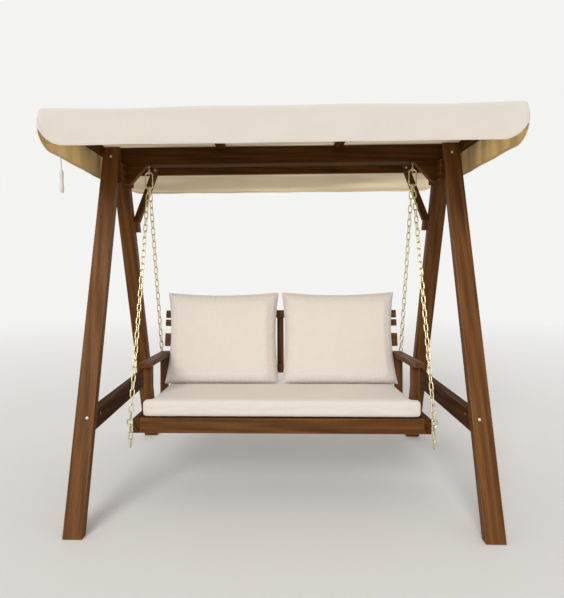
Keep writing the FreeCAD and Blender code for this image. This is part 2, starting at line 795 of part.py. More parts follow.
def chains():
    """A chain from each hook to each of its two eyes, turning a quarter on its way down."""
    wire = size("chain_wire")
    gap = size("chain_gap")
    seat = frame_placement("seat")
    hook_reach = (size("hook_wire") + wire) / 2 + gap
    ring_reach = (size("ring_wire") + wire) / 2 + gap
    ring_bend = (size("ring_outer") - size("ring_wire")) / 2
    ring_up = seat.Rotation.multVec(UP) * ring_bend
    bar_height = size("pivot_height") - size("hook_height") + size("hook_wire")
    for end, side, sign, point, out in ring_spots():
        centre = seat.multVec(point + out * (size("ring_outer") / 2))
        outwards = 1 if end == "front" else -1
        bar = Vector(sign * (size("hang_half_span") + size("chain_offset") * outwards), 0, bar_height)
        line = centre + ring_up - bar
        down = Vector(line).normalize()
        span = line.Length + hook_reach + ring_reach
        odd = 0 if end == "front" else 1
        count = 2 * round((span / size("chain_pitch") - odd) / 2) + odd
        inner = (span - wire + (count - 1) * gap) / count
        link = chain_link(inner)
        half_link = (inner + wire) / 2
        turns = []
        for i in range(count):
            twist = min(1, i / size("twist_links")) + max(0, 1 - (count - 1 - i) / size("twist_links"))
            turns.append(90 * i + 45 * twist)
        first = bar + down * (half_link - hook_reach)
        hang_links(f"chain_{end}_{side}", link, first, down, inner - gap, turns)
        print(end, side, "links", count, "inner length", round(inner, 2))
        if end == "front":
            ring_low = centre - ring_up
            tail_first = ring_low + UP * (ring_reach - half_link)
            tail_turns = [90 * i for i in range(int(size("tail_links")))]
            hang_links(f"chain_tail_{side}", link, tail_first, -UP, inner - gap, tail_turns)
            pivot = tail_first + UP * (half_link - (size("chain_width") - wire) / 2)
            print("tail pivot", side, [round(c, 2) for c in pivot])


# seat, arms and back

def seat_frame():
    """Front, rear and side rails, bearers between them and slats across."""
    front = rectangle("0", "0", "front_rail_thickness", "seat_rail_height")
    rear = rectangle("rear_rail_place", "0", "rear_rail_place + front_rail_thickness", "seat_rail_height")
    side_face = rectangle("0", "0", "seat_rail_length", "seat_rail_height")
    bearer = rectangle("front_rail_thickness", "bearer_low", "rear_rail_place", "slat_low")
    board("seat_front_rail", "YZ", front, "-seat_half_width", "2 * seat_half_width", "seat")
    board("seat_rear_rail", "YZ", rear, "-seat_half_width", "2 * seat_half_width", "seat")
    for side, sign in SIDES:
        start = "-seat_outer" if sign < 0 else "seat_half_width"
        board(f"seat_side_rail_{side}", "YZ", side_face, start, "seat_side_thickness", "seat")
        for place in ("outer_bearer_side", "inner_bearer_side"):
            start = f"{sign} * {place} - bearer_width / 2"
            board("seat_bearers", "YZ", bearer, start, "bearer_width", "seat")
    for i in range(int(size("slat_count"))):
        near = f"slat_start + {i} * slat_step"
        slat = rectangle(near, "slat_low", near + " + slat_width", "slat_top")
        board("seat_slats", "YZ", slat, "-slat_reach", "2 * slat_reach", "seat")


def arms():
    """Two posts a side, inside the side rails, with an armrest laid on them."""
    for side, sign in SIDES:
        way = "-" if sign < 0 else ""
        start = "-seat_half_width" if sign < 0 else "post_inner"
        for place in ("front_post_place", "rear_post_place"):
            post = rectangle(place, "post_foot", place + " + post_depth", "arm_low")
            board("arm_posts", "YZ", post, start, "post_width", "seat")
        corners = [
            (way + "(arm_inner + arm_chamfer)", "arm_front"),
            (way + "arm_outer", "arm_front"),
            (way + "arm_outer", "arm_end"),
            (way + "arm_inner", "arm_end"),
            (way + "arm_inner", "arm_front + arm_chamfer"),
        ]
        board(f"armrest_{side}", "XY", corners, "arm_low", "arm_thickness", "seat")


SLAT_ROWS = [
    ("upper_slat_foot", "narrow_slat_height", "back_half_width"),
    ("wide_slat_foot", "wide_slat_height", "back_half_width"),
    ("lower_slat_foot", "narrow_slat_height", "low_back_half_width"),
]
RAIL_ROWS = [
    ("top_rail_foot", "back_rail_height", "back_half_width"),
    ("low_rail_foot", "back_rail_height", "low_back_half_width"),
]
STILE_SIDES = [(sign, name) for _, sign in SIDES for name in ("outer_stile_side", "inner_stile_side")]


def back():
    """Five stiles with rails and slats on their front, the low ones short of the chains."""
    tall = rectangle("0", "0", "stile_thickness", "back_height")
    for sign, place in STILE_SIDES:
        board("back_stiles", "YZ", tall, f"{sign} * {place} - stile_width / 2", "stile_width", "back")
    short = rectangle("0", "low_rail_foot", "stile_thickness", "back_height")
    board("back_stiles", "YZ", short, "-stile_width / 2", "stile_width", "back")
    for node, (foot, height, reach) in zip(("back_top_rail", "back_bottom_rail"), RAIL_ROWS):
        face = rectangle("-back_board_thickness", foot, "0", f"{foot} + {height}")
        board(node, "YZ", face, f"-{reach}", f"2 * {reach}", "back")
    for foot, height, reach in SLAT_ROWS:
        face = rectangle("-back_board_thickness", foot, "0", f"{foot} + {height}")
        for _, sign in SIDES:
            start = f"-{reach}" if sign < 0 else "slats_inner"
            board("back_slats", "YZ", face, start, f"{reach} - slats_inner", "back")


# cushions

def rounded_section(half, low, high, crown, soft, place):
    """A cushion's cross-section at one depth: flat below, crowned on top, round at its corners."""
    dip = soft * ARC_DIP_SHARE

    def at(x, z):
        return Vector(x, place, z)

    return Part.Wire([
        segment(at(soft - half, low), at(half - soft, low)),
        bow(at(half - soft, low), at(half - dip, low + dip), at(half, low + soft)),
        segment(at(half, low + soft), at(half, high - soft)),
        bow(at(half, high - soft), at(half - dip, high - dip), at(half - soft, high)),
        bow(at(half - soft, high), at(0, high + crown), at(soft - half, high)),
        bow(at(soft - half, high), at(dip - half, high - dip), at(-half, high - soft)),
        segment(at(-half, high - soft), at(-half, low + soft)),
        bow(at(-half, low + soft), at(dip - half, low + dip), at(soft - half, low)),
    ])


# Shares of the edge's softness: how far in from an end, and how much smaller the section is.
END_ROUND_SHARES = [(0, 0.9), (0.12, 0.5), (0.45, 0.15), (1, 0)]


def seat_cushion():
    """One long seat cushion, wider in front of the arm posts, crowned and round at its edges."""
    soft = size("cushion_round")
    depth = size("seat_cushion_depth")
    low = size("slat_top") + size("cushion_clearance")
    high = low + size("seat_cushion_thickness")
    ear = size("seat_cushion_ear")
    wide = size("seat_cushion_ear_half")
    narrow = size("seat_cushion_half")
    stations = [(share * soft, wide, inset * soft) for share, inset in END_ROUND_SHARES]
    stations += [(ear - soft / 4, wide, 0), (ear, wide - soft / 4, 0), (ear + soft / 8, narrow, 0)]
    stations += [(depth - share * soft, narrow, inset * soft) for share, inset in reversed(END_ROUND_SHARES)]
    crown = size("seat_cushion_crown")
    wires = []
    for place, half, inset in stations:
        wires.append(rounded_section(half - inset, low + inset / 2, high - inset, crown, soft / 2, place))
    feature("seat_cushion", Part.makeLoft(wires, True, True), frame_placement("seat"))


def pulled_outline(inset, pull, soft, level):
    """A back cushion's outline at one depth: sides drawn in between its round corners."""
    low_x = size("back_cushion_side") + inset
    high_x = size("back_cushion_side") + size("back_cushion_width") - inset
    low_z = size("back_cushion_foot") + inset / 2
    high_z = size("back_cushion_foot") + size("back_cushion_height") - inset
    dip = soft * ARC_DIP_SHARE
    middle_x = (low_x + high_x) / 2
    middle_z = (low_z + high_z) / 2

    def at(x, z):
        return Vector(x, level, z)

    return Part.Wire([
        bow(at(low_x, low_z + soft), at(low_x + dip, low_z + dip), at(low_x + soft, low_z)),
        bow(at(low_x + soft, low_z), at(middle_x, low_z + pull / 4), at(high_x - soft, low_z)),
        bow(at(high_x - soft, low_z), at(high_x - dip, low_z + dip), at(high_x, low_z + soft)),
        bow(at(high_x, low_z + soft), at(high_x - pull, middle_z), at(high_x, high_z - soft)),
        bow(at(high_x, high_z - soft), at(high_x - dip, high_z - dip), at(high_x - soft, high_z)),
        bow(at(high_x - soft, high_z), at(middle_x, high_z - pull), at(low_x + soft, high_z)),
        bow(at(low_x + soft, high_z), at(low_x + dip, high_z - dip), at(low_x, high_z - soft)),
        bow(at(low_x, high_z - soft), at(low_x + pull, middle_z), at(low_x, low_z + soft)),
    ])


# Shares of a back cushion's thickness, and how far its outline is drawn in there.
PILLOW_SHARES = [(0, 1), (0.07, 0.55), (0.2, 0.2), (0.45, 0), (0.6, 0.02), (0.8, 0.28), (0.93, 0.72), (1, 1.35)]


def back_cushions():
    """Two plump back cushions, full in the middle and drawn in at their sides."""
    thick = size("back_cushion_thickness")
    front = -size("back_board_thickness") - size("cushion_clearance")
    soft = size("cushion_round")
    pull = size("back_cushion_pull")
    wires = [pulled_outline(inset * 2 * soft, pull, soft, front - share * thick) for share, inset in PILLOW_SHARES]
    pillow = Part.makeLoft(wires, True, True)
    feature("back_cushion_right", pillow, frame_placement("back"))
    feature("back_cushion_left", pillow.mirror(Vector(), RIGHT), frame_placement("back"))


# bolts, nuts and screws, with the bores that they need

# Shares of a head's radius and height, from its seat to its crown.
HEAD_SHARES = [(1, 0), (1, 0.35), (0.72, 0.8), (0.35, 1)]


def headed(label, length, kind):
    """A domed bolt or screw, its head above the origin and its shank below."""
    profile = [("0", f"-({length})"), (f"{kind}_diameter / 2", f"-({length})"), (f"{kind}_diameter / 2", "0")]
    profile += [(f"{kind}_head / 2 * {side}", f"{kind}_head_height * {up}") for side, up in HEAD_SHARES]
    profile.append(("0", f"{kind}_head_height"))
    return turned(label, profile)


def drive(node, template, length, kind, spots, frame="ground"):
    """Like fasteners at several spots, each with its bore and room for its head."""
    base = frame_placement(frame)
    clear = size("bore_clearance")
    shank = Part.makeCylinder(size(kind + "_diameter") / 2 + clear, length + clear, UP * -(length + clear))
    head = Part.makeCylinder(size(kind + "_head") / 2 + 2 * clear, size("overrun"))
    bore = shank.fuse(head)
    for point, out in spots:
        spot = base.multiply(Placement(point, Rotation(UP, out)))
        feature(node, moved(template.Shape, spot))
        BORES.append(moved(bore, spot))


def hex_nut():
    """A hexagonal nut with a plain bore."""
    blank = doc.addObject("Part::Prism", "nut_blank")
    blank.Polygon = 6
    blank.setExpression("Circumradius", bind("nut_width / sqrt(3)"))
    blank.setExpression("Height", bind("nut_height"))
    bore = doc.addObject("Part::Cylinder", "nut_bore")
    bore.setExpression("Radius", bind("bolt_diameter / 2 + bore_clearance"))
    bore.setExpression("Height", bind("nut_height"))
    nut = doc.addObject("Part::Cut", "nut")
    nut.Base = blank
    nut.Tool = bore
    doc.recompute()
    return nut


def frame_nuts(seat_y):
    """Nuts behind the leg tops and on the eye bolts."""
    nut = hex_nut()
    clear = size("bore_clearance")
    recess = Part.makeCylinder(size("nut_width") / math.sqrt(3) + 2 * clear, size("overrun"))
    for _, sign in SIDES:
        behind = Placement(Vector(sign * size("frame_half_span"), seat_y, size("beam_middle")), Rotation(UP, REAR))
        above = Placement(Vector(sign * size("hang_half_span"), 0, size("batten_seat_height")), Rotation())
        feature("frame_nuts", moved(nut.Shape, behind))
        feature("frame_nuts", moved(nut.Shape, above))
        BORES.append(moved(recess, behind))
        BORES.append(moved(recess, above))


def frame_bolts():
    """Bolts at the leg tops, the low rails and the braces."""
    sink = size("bolt_sink")
    seat_y = size("half_base") - size("beam_middle") * size("lean_slope") - sink
    rail_z = size("rail_bolt_height")
    rail_y = size("half_base") - rail_z * size("lean_slope") - sink
    rail_x = size("leg_inner") + size("rail_thickness") * 0.72
    top_length = 2 * seat_y + size("nut_height") + sink / 2
    rail_length = size("leg_run") - sink + size("rail_bolt_reach")
    long_bolt = headed("leg_top_bolt", str(top_length), "bolt")
    rail_bolt = headed("low_rail_bolt", str(rail_length), "bolt")
    brace_bolt = headed("brace_bolt", "brace_bolt_length", "bolt")
    doc.recompute()
    tops = [(Vector(sign * size("frame_half_span"), -seat_y, size("beam_middle")), -REAR) for _, sign in SIDES]
    rails = [(Vector(sign * rail_x, way * rail_y, rail_z), REAR * way) for _, sign in SIDES for way in (-1, 1)]
    brace_y = size("rear_rail_face") - size("brace_thickness") / 3
    brace_z = -size("canopy_rail_height") / 2
    braces = [(Vector(sign * size("brace_head_side"), brace_y, brace_z), -REAR) for _, sign in SIDES]
    drive("frame_bolts", long_bolt, top_length, "bolt", tops)
    drive("frame_bolts", rail_bolt, rail_length, "bolt", rails)
    drive("frame_bolts", brace_bolt, size("brace_bolt_length"), "bolt", braces, "canopy")
    frame_nuts(seat_y)
    barrel_nuts(rail_x, rail_z)


def barrel_nuts(rail_x, rail_z):
    """Barrel nuts across the low rails, each around the end of its bolt."""
    barrel = doc.addObject("Part::Cylinder", "barrel")
    barrel.setExpression("Radius", bind("barrel_diameter / 2"))
    barrel.setExpression("Height", bind("barrel_length"))
    doc.recompute()
    clear = size("bore_clearance")
    spare = size("overrun")
    place = size("inner_base") - rail_z * size("lean_slope") - size("rail_bolt_reach") + size("barrel_diameter")
    pocket = Part.makeCylinder(size("barrel_diameter") / 2 + clear, size("barrel_length") + spare)
    thread = Part.makeCylinder(size("bolt_diameter") / 2 + clear, 2 * spare, REAR * -spare, REAR)
    for _, sign in SIDES:
        for way in (-1, 1):
            deep = sign * (size("leg_inner") + size("barrel_length") + 1)
            spot = Placement(Vector(deep, way * place, rail_z), Rotation(UP, Vector(-sign, 0, 0)))
            through = moved(thread, Placement(Vector(sign * rail_x, way * place, rail_z), Rotation()))
            feature("barrel_nuts", moved(barrel.Shape, spot).cut(through))
            BORES.append(moved(pocket, spot))


# Where screws stand on their pieces, as shares of the piece.
BLOCK_SCREW_SHARES = (0.27, 0.73)
BRACE_SCREW_SHARE = 0.34
BRACE_SINK_SHARE = 0.36
GUSSET_SCREW_SHARE = 0.2
GUSSET_SINK_SHARE = 1.8


def frame_screws():
    """Screws of the collar boards, gussets, brace blocks and brace feet, and in the front legs."""
    short = headed("short_screw_body", "short_screw", "screw")
    middle = headed("middle_screw_body", "middle_screw", "screw")
    long = headed("long_screw_body", "long_screw", "screw")
    doc.recompute()
    slope = size("lean_slope")
    leg_middle = size("half_base") - size("leg_run") / 2
    collar_z = size("beam_underside") - size("collar_height") / 2
    collar_end = size("collar_length") / 2 - size("screw_head")
    middles = []
    shorts = []
    longs = []
    for _, sign in SIDES:
        inward = Vector(-sign, 0, 0)
        for lift in (-1, 1):
            z = collar_z + lift * size("collar_height") / 4
            y = min(leg_middle - z * slope, collar_end)
            middles += [(Vector(sign * size("collar_inner"), way * y, z), inward) for way in (-1, 1)]
        split_z = size("rail_bolt_height") - size("bolt_head") / 3
        shorts.append((Vector(sign * size("leg_inner"), split_z * slope - leg_middle, split_z), inward))
        for share in BLOCK_SCREW_SHARES:
            z = size("brace_foot_height") - share * size("block_height")
            face = sign * (size("leg_inner") - size("block_thickness"))
            middles.append((Vector(face, leg_middle - z * slope, z), inward))
        sink = size("screw_sink") * GUSSET_SINK_SHARE
        rise = (size("gusset_width") - size("gusset_foot")) / size("gusset_height")
        down = GUSSET_SCREW_SHARE * size("gusset_height")
        under_beam = Vector(sign * (size("gusset_tip") + down * rise), 0, size("beam_underside") - down + sink)
        low = size("beam_underside") - size("gusset_height") + down
        beside = size("collar_inner") - size("gusset_foot") - down * rise
        longs.append((under_beam, -UP))
        longs.append((Vector(sign * (beside + sink), 0, low), inward))
        foot, head = brace_line(sign)
        place = foot + (head - foot).normalize() * size("brace_width") * BRACE_SCREW_SHARE
        near = Vector(place.x - sign * size("brace_width") * BRACE_SINK_SHARE, place.y, place.z)
        longs.append((near, inward))
    drive("frame_screws", middle, size("middle_screw"), "screw", middles)
    drive("frame_screws", short, size("short_screw"), "screw", shorts)
    drive("frame_screws", long, size("long_screw"), "screw", longs)
    return middle, long


LEG_TOP_SHARE = 1.42


def canopy_screws(middle, long):
    """Sunk screws of the canopy's side rails and battens, under the cloth."""
    sink = size("screw_sink")
    side_x = size("side_rail_outer") - sink
    side_z = size("side_rail_foot") / 2
    beam_line = -size("half_beam")
    leg_reach = size("half_beam") * LEG_TOP_SHARE
    ends = [size("canopy_rail_thickness") / 2 - size("canopy_front"), size("canopy_rear") - size("canopy_rail_thickness") / 2]
    places_along = [beam_line - leg_reach, beam_line, beam_line + leg_reach] + ends
    top_z = size("batten_thickness") - sink
    sides = [(Vector(sign * side_x, y, side_z), RIGHT * sign) for _, sign in SIDES for y in places_along]
    tops = [(Vector(sign * size("batten_spacing") / 2, y, top_z), UP) for _, sign in SIDES for y in [beam_line] + ends]
    drive("canopy_screws", long, size("long_screw"), "screw", sides, "canopy")
    drive("canopy_screws", middle, size("middle_screw"), "screw", tops, "canopy")


RAIL_SCREW_SHARES = (0.25, 0.78)
LAP_SHARE = 0.83


def seat_screws(middle, long):
    """Long screws of the rails, posts and stiles, and shorter ones of all slats."""
    lifts = [size("seat_rail_height") * share for share in RAIL_SCREW_SHARES]
    front = size("front_rail_thickness") / 3
    rear = size("rear_rail_place") + size("front_rail_thickness") / 2
    posts = [size(name) + size("post_depth") / 2 for name in ("front_post_place", "rear_post_place")]
    longs = [(Vector(sign * size("seat_outer"), u, v), RIGHT * sign)
             for _, sign in SIDES for u in [front] + posts + [rear] for v in lifts]
    lap_v = (size("bearer_low") + size("slat_low")) / 2
    lap_u = size("back_foot") + size("stile_thickness") * LAP_SHARE
    outer = size("outer_stile_side") + size("stile_width") / 2
    longs += [(Vector(sign * outer, lap_u, lap_v), RIGHT * sign) for _, sign in SIDES]
    longs += [(Vector(sign * size("slats_inner"), lap_u, lap_v), RIGHT * -sign) for _, sign in SIDES]
    drive("seat_bolts", long, size("long_screw"), "screw", longs, "seat")
    bearers = [sign * size(name) for _, sign in SIDES for name in ("outer_bearer_side", "inner_bearer_side")]
    rows = [size("slat_start") + size("slat_step") * i + size("slat_width") / 2 for i in range(int(size("slat_count")))]
    tops = [(Vector(x, u, size("slat_top") - size("screw_sink")), UP) for x in bearers for u in rows]
    drive("slat_screws", middle, size("middle_screw"), "screw", tops, "seat")
    stiles = [sign * size(name) for sign, name in STILE_SIDES]
    spots = [(x, foot, height) for foot, height, _ in RAIL_ROWS + SLAT_ROWS for x in stiles]
    spots += [(0, foot, height) for foot, height, _ in RAIL_ROWS]
    backs = [(Vector(x, size("stile_thickness"), size(foot) + size(height) / 2), REAR) for x, foot, height in spots]
    drive("slat_screws", middle, size("middle_screw"), "screw", backs, "back")


legs()
frame_rails()
canopy_frame()
knee_braces()
canopy_cover()
tie_cord()
eye_bolts()
snap_hooks()
seat_eyes()
chains()
seat_frame()
arms()
back()
seat_cushion()
back_cushions()
doc.recompute()
frame_bolts()
middle_screw, long_screw = frame_screws()
canopy_screws(middle_screw, long_screw)
seat_screws(middle_screw, long_screw)
doc.recompute()


# bores, groups and files

def bored(node, blank):
    """The blank less every bore that reaches into it and its own housings."""
    solid = blank.Shape
    rooms = BORES + HOUSINGS.get(node, [])
    near = [bore for bore in rooms if bore.BoundBox.intersect(solid.BoundBox)]
    near = [bore for bore in near if solid.common(bore).Volume > size("bore_clearance")]
    if not near:
        return blank
    drill = doc.addObject("Part::Feature", node + "_bores")
    drill.Shape = near[0].multiFuse(near[1:]) if len(near) > 1 else near[0]
    cut = doc.addObject("Part::Cut", node + "_bored")
    cut.Base = blank
    cut.Tool = drill
    return cut


def finished(node, blanks):
    """One object for one node: a bored piece, or a group of them."""
    if node in TIMBER:
        blanks = [bored(node, blank) for blank in blanks]
    if len(blanks) == 1:
        return blanks[0]
    group = doc.addObject("Part::Compound", node)
    group.Links = blanks
    return group


results = {node: finished(node, blanks) for node, blanks in NODES.items()}
doc.recompute()
for item in doc.Objects:
    if "Invalid" in item.State or "Error" in item.State:
        raise RuntimeError(f"{item.Name} did not build: {item.State}")
for node, item in results.items():
    item.Label = node
    shape = item.Shape
    if shape.isNull() or not shape.isValid():
        raise RuntimeError(f"{node} is not a sound solid")
    shape.exportStep(f"parts/{node}.step")
    print(node, len(shape.Solids), round(shape.Volume))
print("nodes", len(results))
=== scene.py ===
import math

import bmesh
import bpy
from mathutils import Matrix, Vector, noise


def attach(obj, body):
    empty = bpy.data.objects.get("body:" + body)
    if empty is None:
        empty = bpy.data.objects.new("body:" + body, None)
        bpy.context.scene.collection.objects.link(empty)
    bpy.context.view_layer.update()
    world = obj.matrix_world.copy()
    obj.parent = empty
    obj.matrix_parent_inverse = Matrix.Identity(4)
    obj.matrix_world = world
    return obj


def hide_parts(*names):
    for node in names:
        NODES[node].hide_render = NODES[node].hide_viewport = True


bl_info = {
    "name": "Canopy Swing",
    "version": (1, 0, 0),
    "blender": (4, 5, 0),
    "location": "3D View > Sidebar > Canopy Swing",
    "description": "Cloth roof, cushions, tie cord, hardware finishes and studio for a wooden swing seat",
    "category": "Object",
}

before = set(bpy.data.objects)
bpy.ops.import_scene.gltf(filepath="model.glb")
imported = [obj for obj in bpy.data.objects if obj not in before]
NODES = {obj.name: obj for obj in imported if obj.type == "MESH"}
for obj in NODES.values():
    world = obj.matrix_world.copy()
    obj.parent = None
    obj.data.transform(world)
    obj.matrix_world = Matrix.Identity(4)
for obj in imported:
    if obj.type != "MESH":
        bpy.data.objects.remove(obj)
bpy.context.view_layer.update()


# places and small helpers

def tilted(place, degrees):
    """A frame that is moved to a place and leans back about X."""
    return Matrix.Translation(place) @ Matrix.Rotation(-math.radians(degrees), 4, "X")


def leaning(degrees):
    """The direction of an upright that leans back by these degrees."""
    return Vector((0, math.sin(math.radians(degrees)), math.cos(math.radians(degrees))))


SEAT_TILT = 2.8
BACK_LEAN = 14.8
ROOF_TILT = 1.4
LEG_LEAN = 18.3
ROOF = tilted((0, 0.045, 1.868), ROOF_TILT)
SEAT = tilted((0, -0.381, 0.376), SEAT_TILT)
BACK = tilted(SEAT @ Vector((0, 0.484, 0)), BACK_LEAN)


def smooth(value, low=0.0, high=1.0):
    """A soft step from 0 to 1 between two values."""
    share = min(max((value - low) / (high - low), 0), 1)
    return share * share * (3 - 2 * share)


def select_only(obj):
    """Leave one object selected and active."""
    bpy.ops.object.select_all(action="DESELECT")
    obj.select_set(True)
    bpy.context.view_layer.objects.active = obj


def edit(obj):
    """Open one object in edit mode with all of it selected."""
    select_only(obj)
    bpy.ops.object.mode_set(mode="EDIT")
    bpy.ops.mesh.select_all(action="SELECT")


def close_edit():
    """Back to object mode."""
    bpy.ops.object.mode_set(mode="OBJECT")


def pick_faces(obj, wanted):
    """In edit mode, select the faces whose middle and normal are wanted, and no others."""
    bpy.ops.mesh.select_mode(type="FACE")
    bpy.ops.mesh.select_all(action="DESELECT")
    shape = bmesh.from_edit_mesh(obj.data)
    for face in shape.faces:
        face.select_set(wanted(face.calc_center_median(), face.normal))
    bmesh.update_edit_mesh(obj.data)


def rename(name):
    """Name the active object and its mesh."""
    obj = bpy.context.view_layer.objects.active
    obj.name = name
    obj.data.name = name
    return obj


def apply_all(obj):
    """Apply each modifier, then set the object's place into its mesh."""
    select_only(obj)
    for modifier in list(obj.modifiers):
        bpy.ops.object.modifier_apply(modifier=modifier.name)
    bpy.ops.object.transform_apply(location=True, rotation=True, scale=True)


def set_in(obj, place):
    """Move a mesh's points into a frame of the swing."""
    obj.data.transform(place)
    obj.data.update()


def finish_piece(obj, material, body, slot, *nodes):
    """Smooth a piece, paint it, set it on its body and let it stand for its CAD nodes."""
    select_only(obj)
    bpy.ops.object.shade_smooth_by_angle(angle=math.radians(50))
    if material is not None:
        obj.data.materials.clear()
        obj.data.materials.append(material)
    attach(obj, body)
    if nodes:
        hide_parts(*nodes)


# materials

def feed(tree, node, values):
    """Set or link a shader node's inputs."""
    for socket, value in values.items():
        if isinstance(value, bpy.types.NodeSocket):
            tree.links.new(value, node.inputs[socket])
        else:
            node.inputs[socket].default_value = value


def put(tree, kind, values=None, **settings):
    """Add a shader node, set or link its inputs, and return it."""
    made = tree.nodes.new("ShaderNode" + kind)
    for name, setting in settings.items():
        setattr(made, name, setting)
    feed(tree, made, values or {})
    return made


def new_material(name):
    """An empty material with its node tree and main shader."""
    made = bpy.data.materials.new(name)
    made.use_nodes = True
    return made, made.node_tree, made.node_tree.nodes["Principled BSDF"]


def sums(tree, operation, first, second=0.5, third=0.5):
    """The result of a Math node."""
    return put(tree, "Math", {0: first, 1: second, 2: third}, operation=operation).outputs[0]


def blend_colours(tree, share, low, high, way="MIX"):
    """Mix two colours by a share."""
    return put(tree, "Mix", {0: share, 6: low, 7: high}, data_type="RGBA", blend_type=way).outputs[2]


def ramp(tree, value, stops):
    """A colour ramp from (place, colour) stops."""
    made = put(tree, "ValToRGB", {0: value})
    while len(made.color_ramp.elements) < len(stops):
        made.color_ramp.elements.new(0.5)
    for element, (place, colour) in zip(made.color_ramp.elements, stops):
        element.position = place
        element.color = (*colour, 1)
    return made.outputs[0]


def spread(tree, value, low, high, to_low=0.0, to_high=1.0):
    """A value's range mapped to another, and kept in it."""
    return put(tree, "MapRange", {0: value, 1: low, 2: high, 3: to_low, 4: to_high}).outputs[0]


def scaled(tree, vector, sizes):
    """Coordinates stretched by three scales."""
    return put(tree, "Mapping", {0: vector, 3: sizes}).outputs[0]


def cloudy(tree, vector, scale, detail=3.0, roughness=0.55, distortion=0.0):
    """A noise texture's value."""
    values = {"Vector": vector, "Scale": scale, "Detail": detail,
              "Roughness": roughness, "Distortion": distortion}
    return put(tree, "TexNoise", values).outputs[0]


def bands(tree, vector, direction, scale, distortion=0.0, detail=0.0):
    """Straight bands across one direction."""
    values = {"Vector": vector, "Scale": scale, "Distortion": distortion, "Detail": detail}
    return put(tree, "TexWave", values, bands_direction=direction).outputs[1]


def times(colour, factor):
    """A colour made darker or lighter."""
    return tuple(min(part * factor, 1) for part in colour[:3])


def solid(colour, factor):
    """A colour made darker or lighter, with its alpha."""
    return (*times(colour, factor), 1)


def relief(tree, shader, height, strength, distance):
    """Fine relief on a surface, from a height value."""
    bump = put(tree, "Bump", {"Strength": strength, "Distance": distance, "Height": height})
    tree.links.new(bump.outputs[0], shader.inputs["Normal"])


def board_turn(along, wide):
    """Angles that turn a board's own axes, wide in X and long in Z, to these directions."""
    long_way = Vector(along).normalized()
    thick_way = long_way.cross(Vector(wide)).normalized()
    wide_way = thick_way.cross(long_way)
    return Matrix((wide_way, thick_way, long_way)).transposed().to_euler()


def stained_wood(name, along, wide, tone_and_shade=1.0):
    """Oiled, dark stained hardwood with its grain along the board, rubbed lighter at its edges."""
    look = bpy.context.scene.swing_finishes
    made, tree, shader = new_material("stained_wood_" + name)
    spots = put(tree, "TexCoord")
    turn = board_turn(along, wide)
    own = put(tree, "Mapping", {0: spots.outputs["Object"], 2: turn}, vector_type="TEXTURE").outputs[0]
    streaks = cloudy(tree, scaled(tree, own, (48, 48, 1.3)), 1.0, 4.0, 0.6, 0.5)
    fibres = cloudy(tree, scaled(tree, own, (300, 300, 7)), 1.0, 3.0, 0.6)
    pores = cloudy(tree, scaled(tree, own, (900, 900, 30)), 1.0, 1.0, 0.5)
    figure = bands(tree, scaled(tree, own, (1, 1, 0.06)), "DIAGONAL", 14.0, 7.0, 2.0)
    patches = cloudy(tree, scaled(tree, own, (5, 5, 1.6)), 1.0, 2.0)
    mixed = sums(tree, "MULTIPLY_ADD", streaks, 0.46, sums(tree, "MULTIPLY", fibres, 0.34))
    mixed = sums(tree, "MULTIPLY_ADD", figure, 0.12, mixed)
    mixed = sums(tree, "MULTIPLY_ADD", patches, 0.12, mixed)
    # painted shade: the stain factor darkens boards that stand in shade, beside each board's own colour
    dark = times(look.wood_dark, tone_and_shade)
    middle = times(look.wood_middle, tone_and_shade)
    light = times(look.wood_light, tone_and_shade)
    colour = ramp(tree, mixed, [(0.32, dark), (0.52, middle), (0.74, light)])
    dash = spread(tree, pores, 0.6, 0.72)
    colour = blend_colours(tree, sums(tree, "MULTIPLY", dash, 0.4), colour, solid(dark, 0.55))
    way = put(tree, "Mapping", {0: spots.outputs["Normal"], 2: turn}, vector_type="TEXTURE").outputs[0]
    flat = put(tree, "VectorMath", {0: way}, operation="ABSOLUTE").outputs[0]
    parts = put(tree, "SeparateXYZ", {0: flat})
    most = sums(tree, "MAXIMUM", parts.outputs[0], parts.outputs[1])
    most = sums(tree, "MAXIMUM", most, parts.outputs[2])
    worn = spread(tree, most, 0.985, 0.9)
    rub = cloudy(tree, scaled(tree, own, (40, 40, 5)), 1.0, 2.0)
    worn = sums(tree, "MULTIPLY", worn, spread(tree, rub, 0.3, 0.65, 0.15, 0.7))
    colour = blend_colours(tree, worn, colour, solid(light, 1.7))
    rough = spread(tree, mixed, 0.3, 0.7, 0.58, 0.44)
    gloss = 0.12 if tone_and_shade > 0.7 else 0.02
    feed(tree, shader, {"Base Color": colour, "Roughness": rough, "Specular IOR Level": gloss})
    height = sums(tree, "SUBTRACT", sums(tree, "MULTIPLY", fibres, 0.7), sums(tree, "MULTIPLY", dash, 0.6))
    relief(tree, shader, height, 0.35, 0.0006)
    return made


def plated_metal(name, colour, rough):
    """Zinc plated steel with a pale gold or silver passivation and faint handling marks."""
    made, tree, shader = new_material(name)
    spots = put(tree, "TexCoord").outputs["Object"]
    marks = cloudy(tree, spots, 260.0, 3.0)
    blush = cloudy(tree, spots, 45.0, 2.0)
    tint = blend_colours(tree, blush, solid(colour, 0.82), solid(colour, 1.12))
    handled = spread(tree, marks, 0.3, 0.7, rough - 0.07, rough + 0.1)
    feed(tree, shader, {"Base Color": tint, "Metallic": 1.0, "Roughness": handled})
    relief(tree, shader, marks, 0.15, 0.0002)
    return made


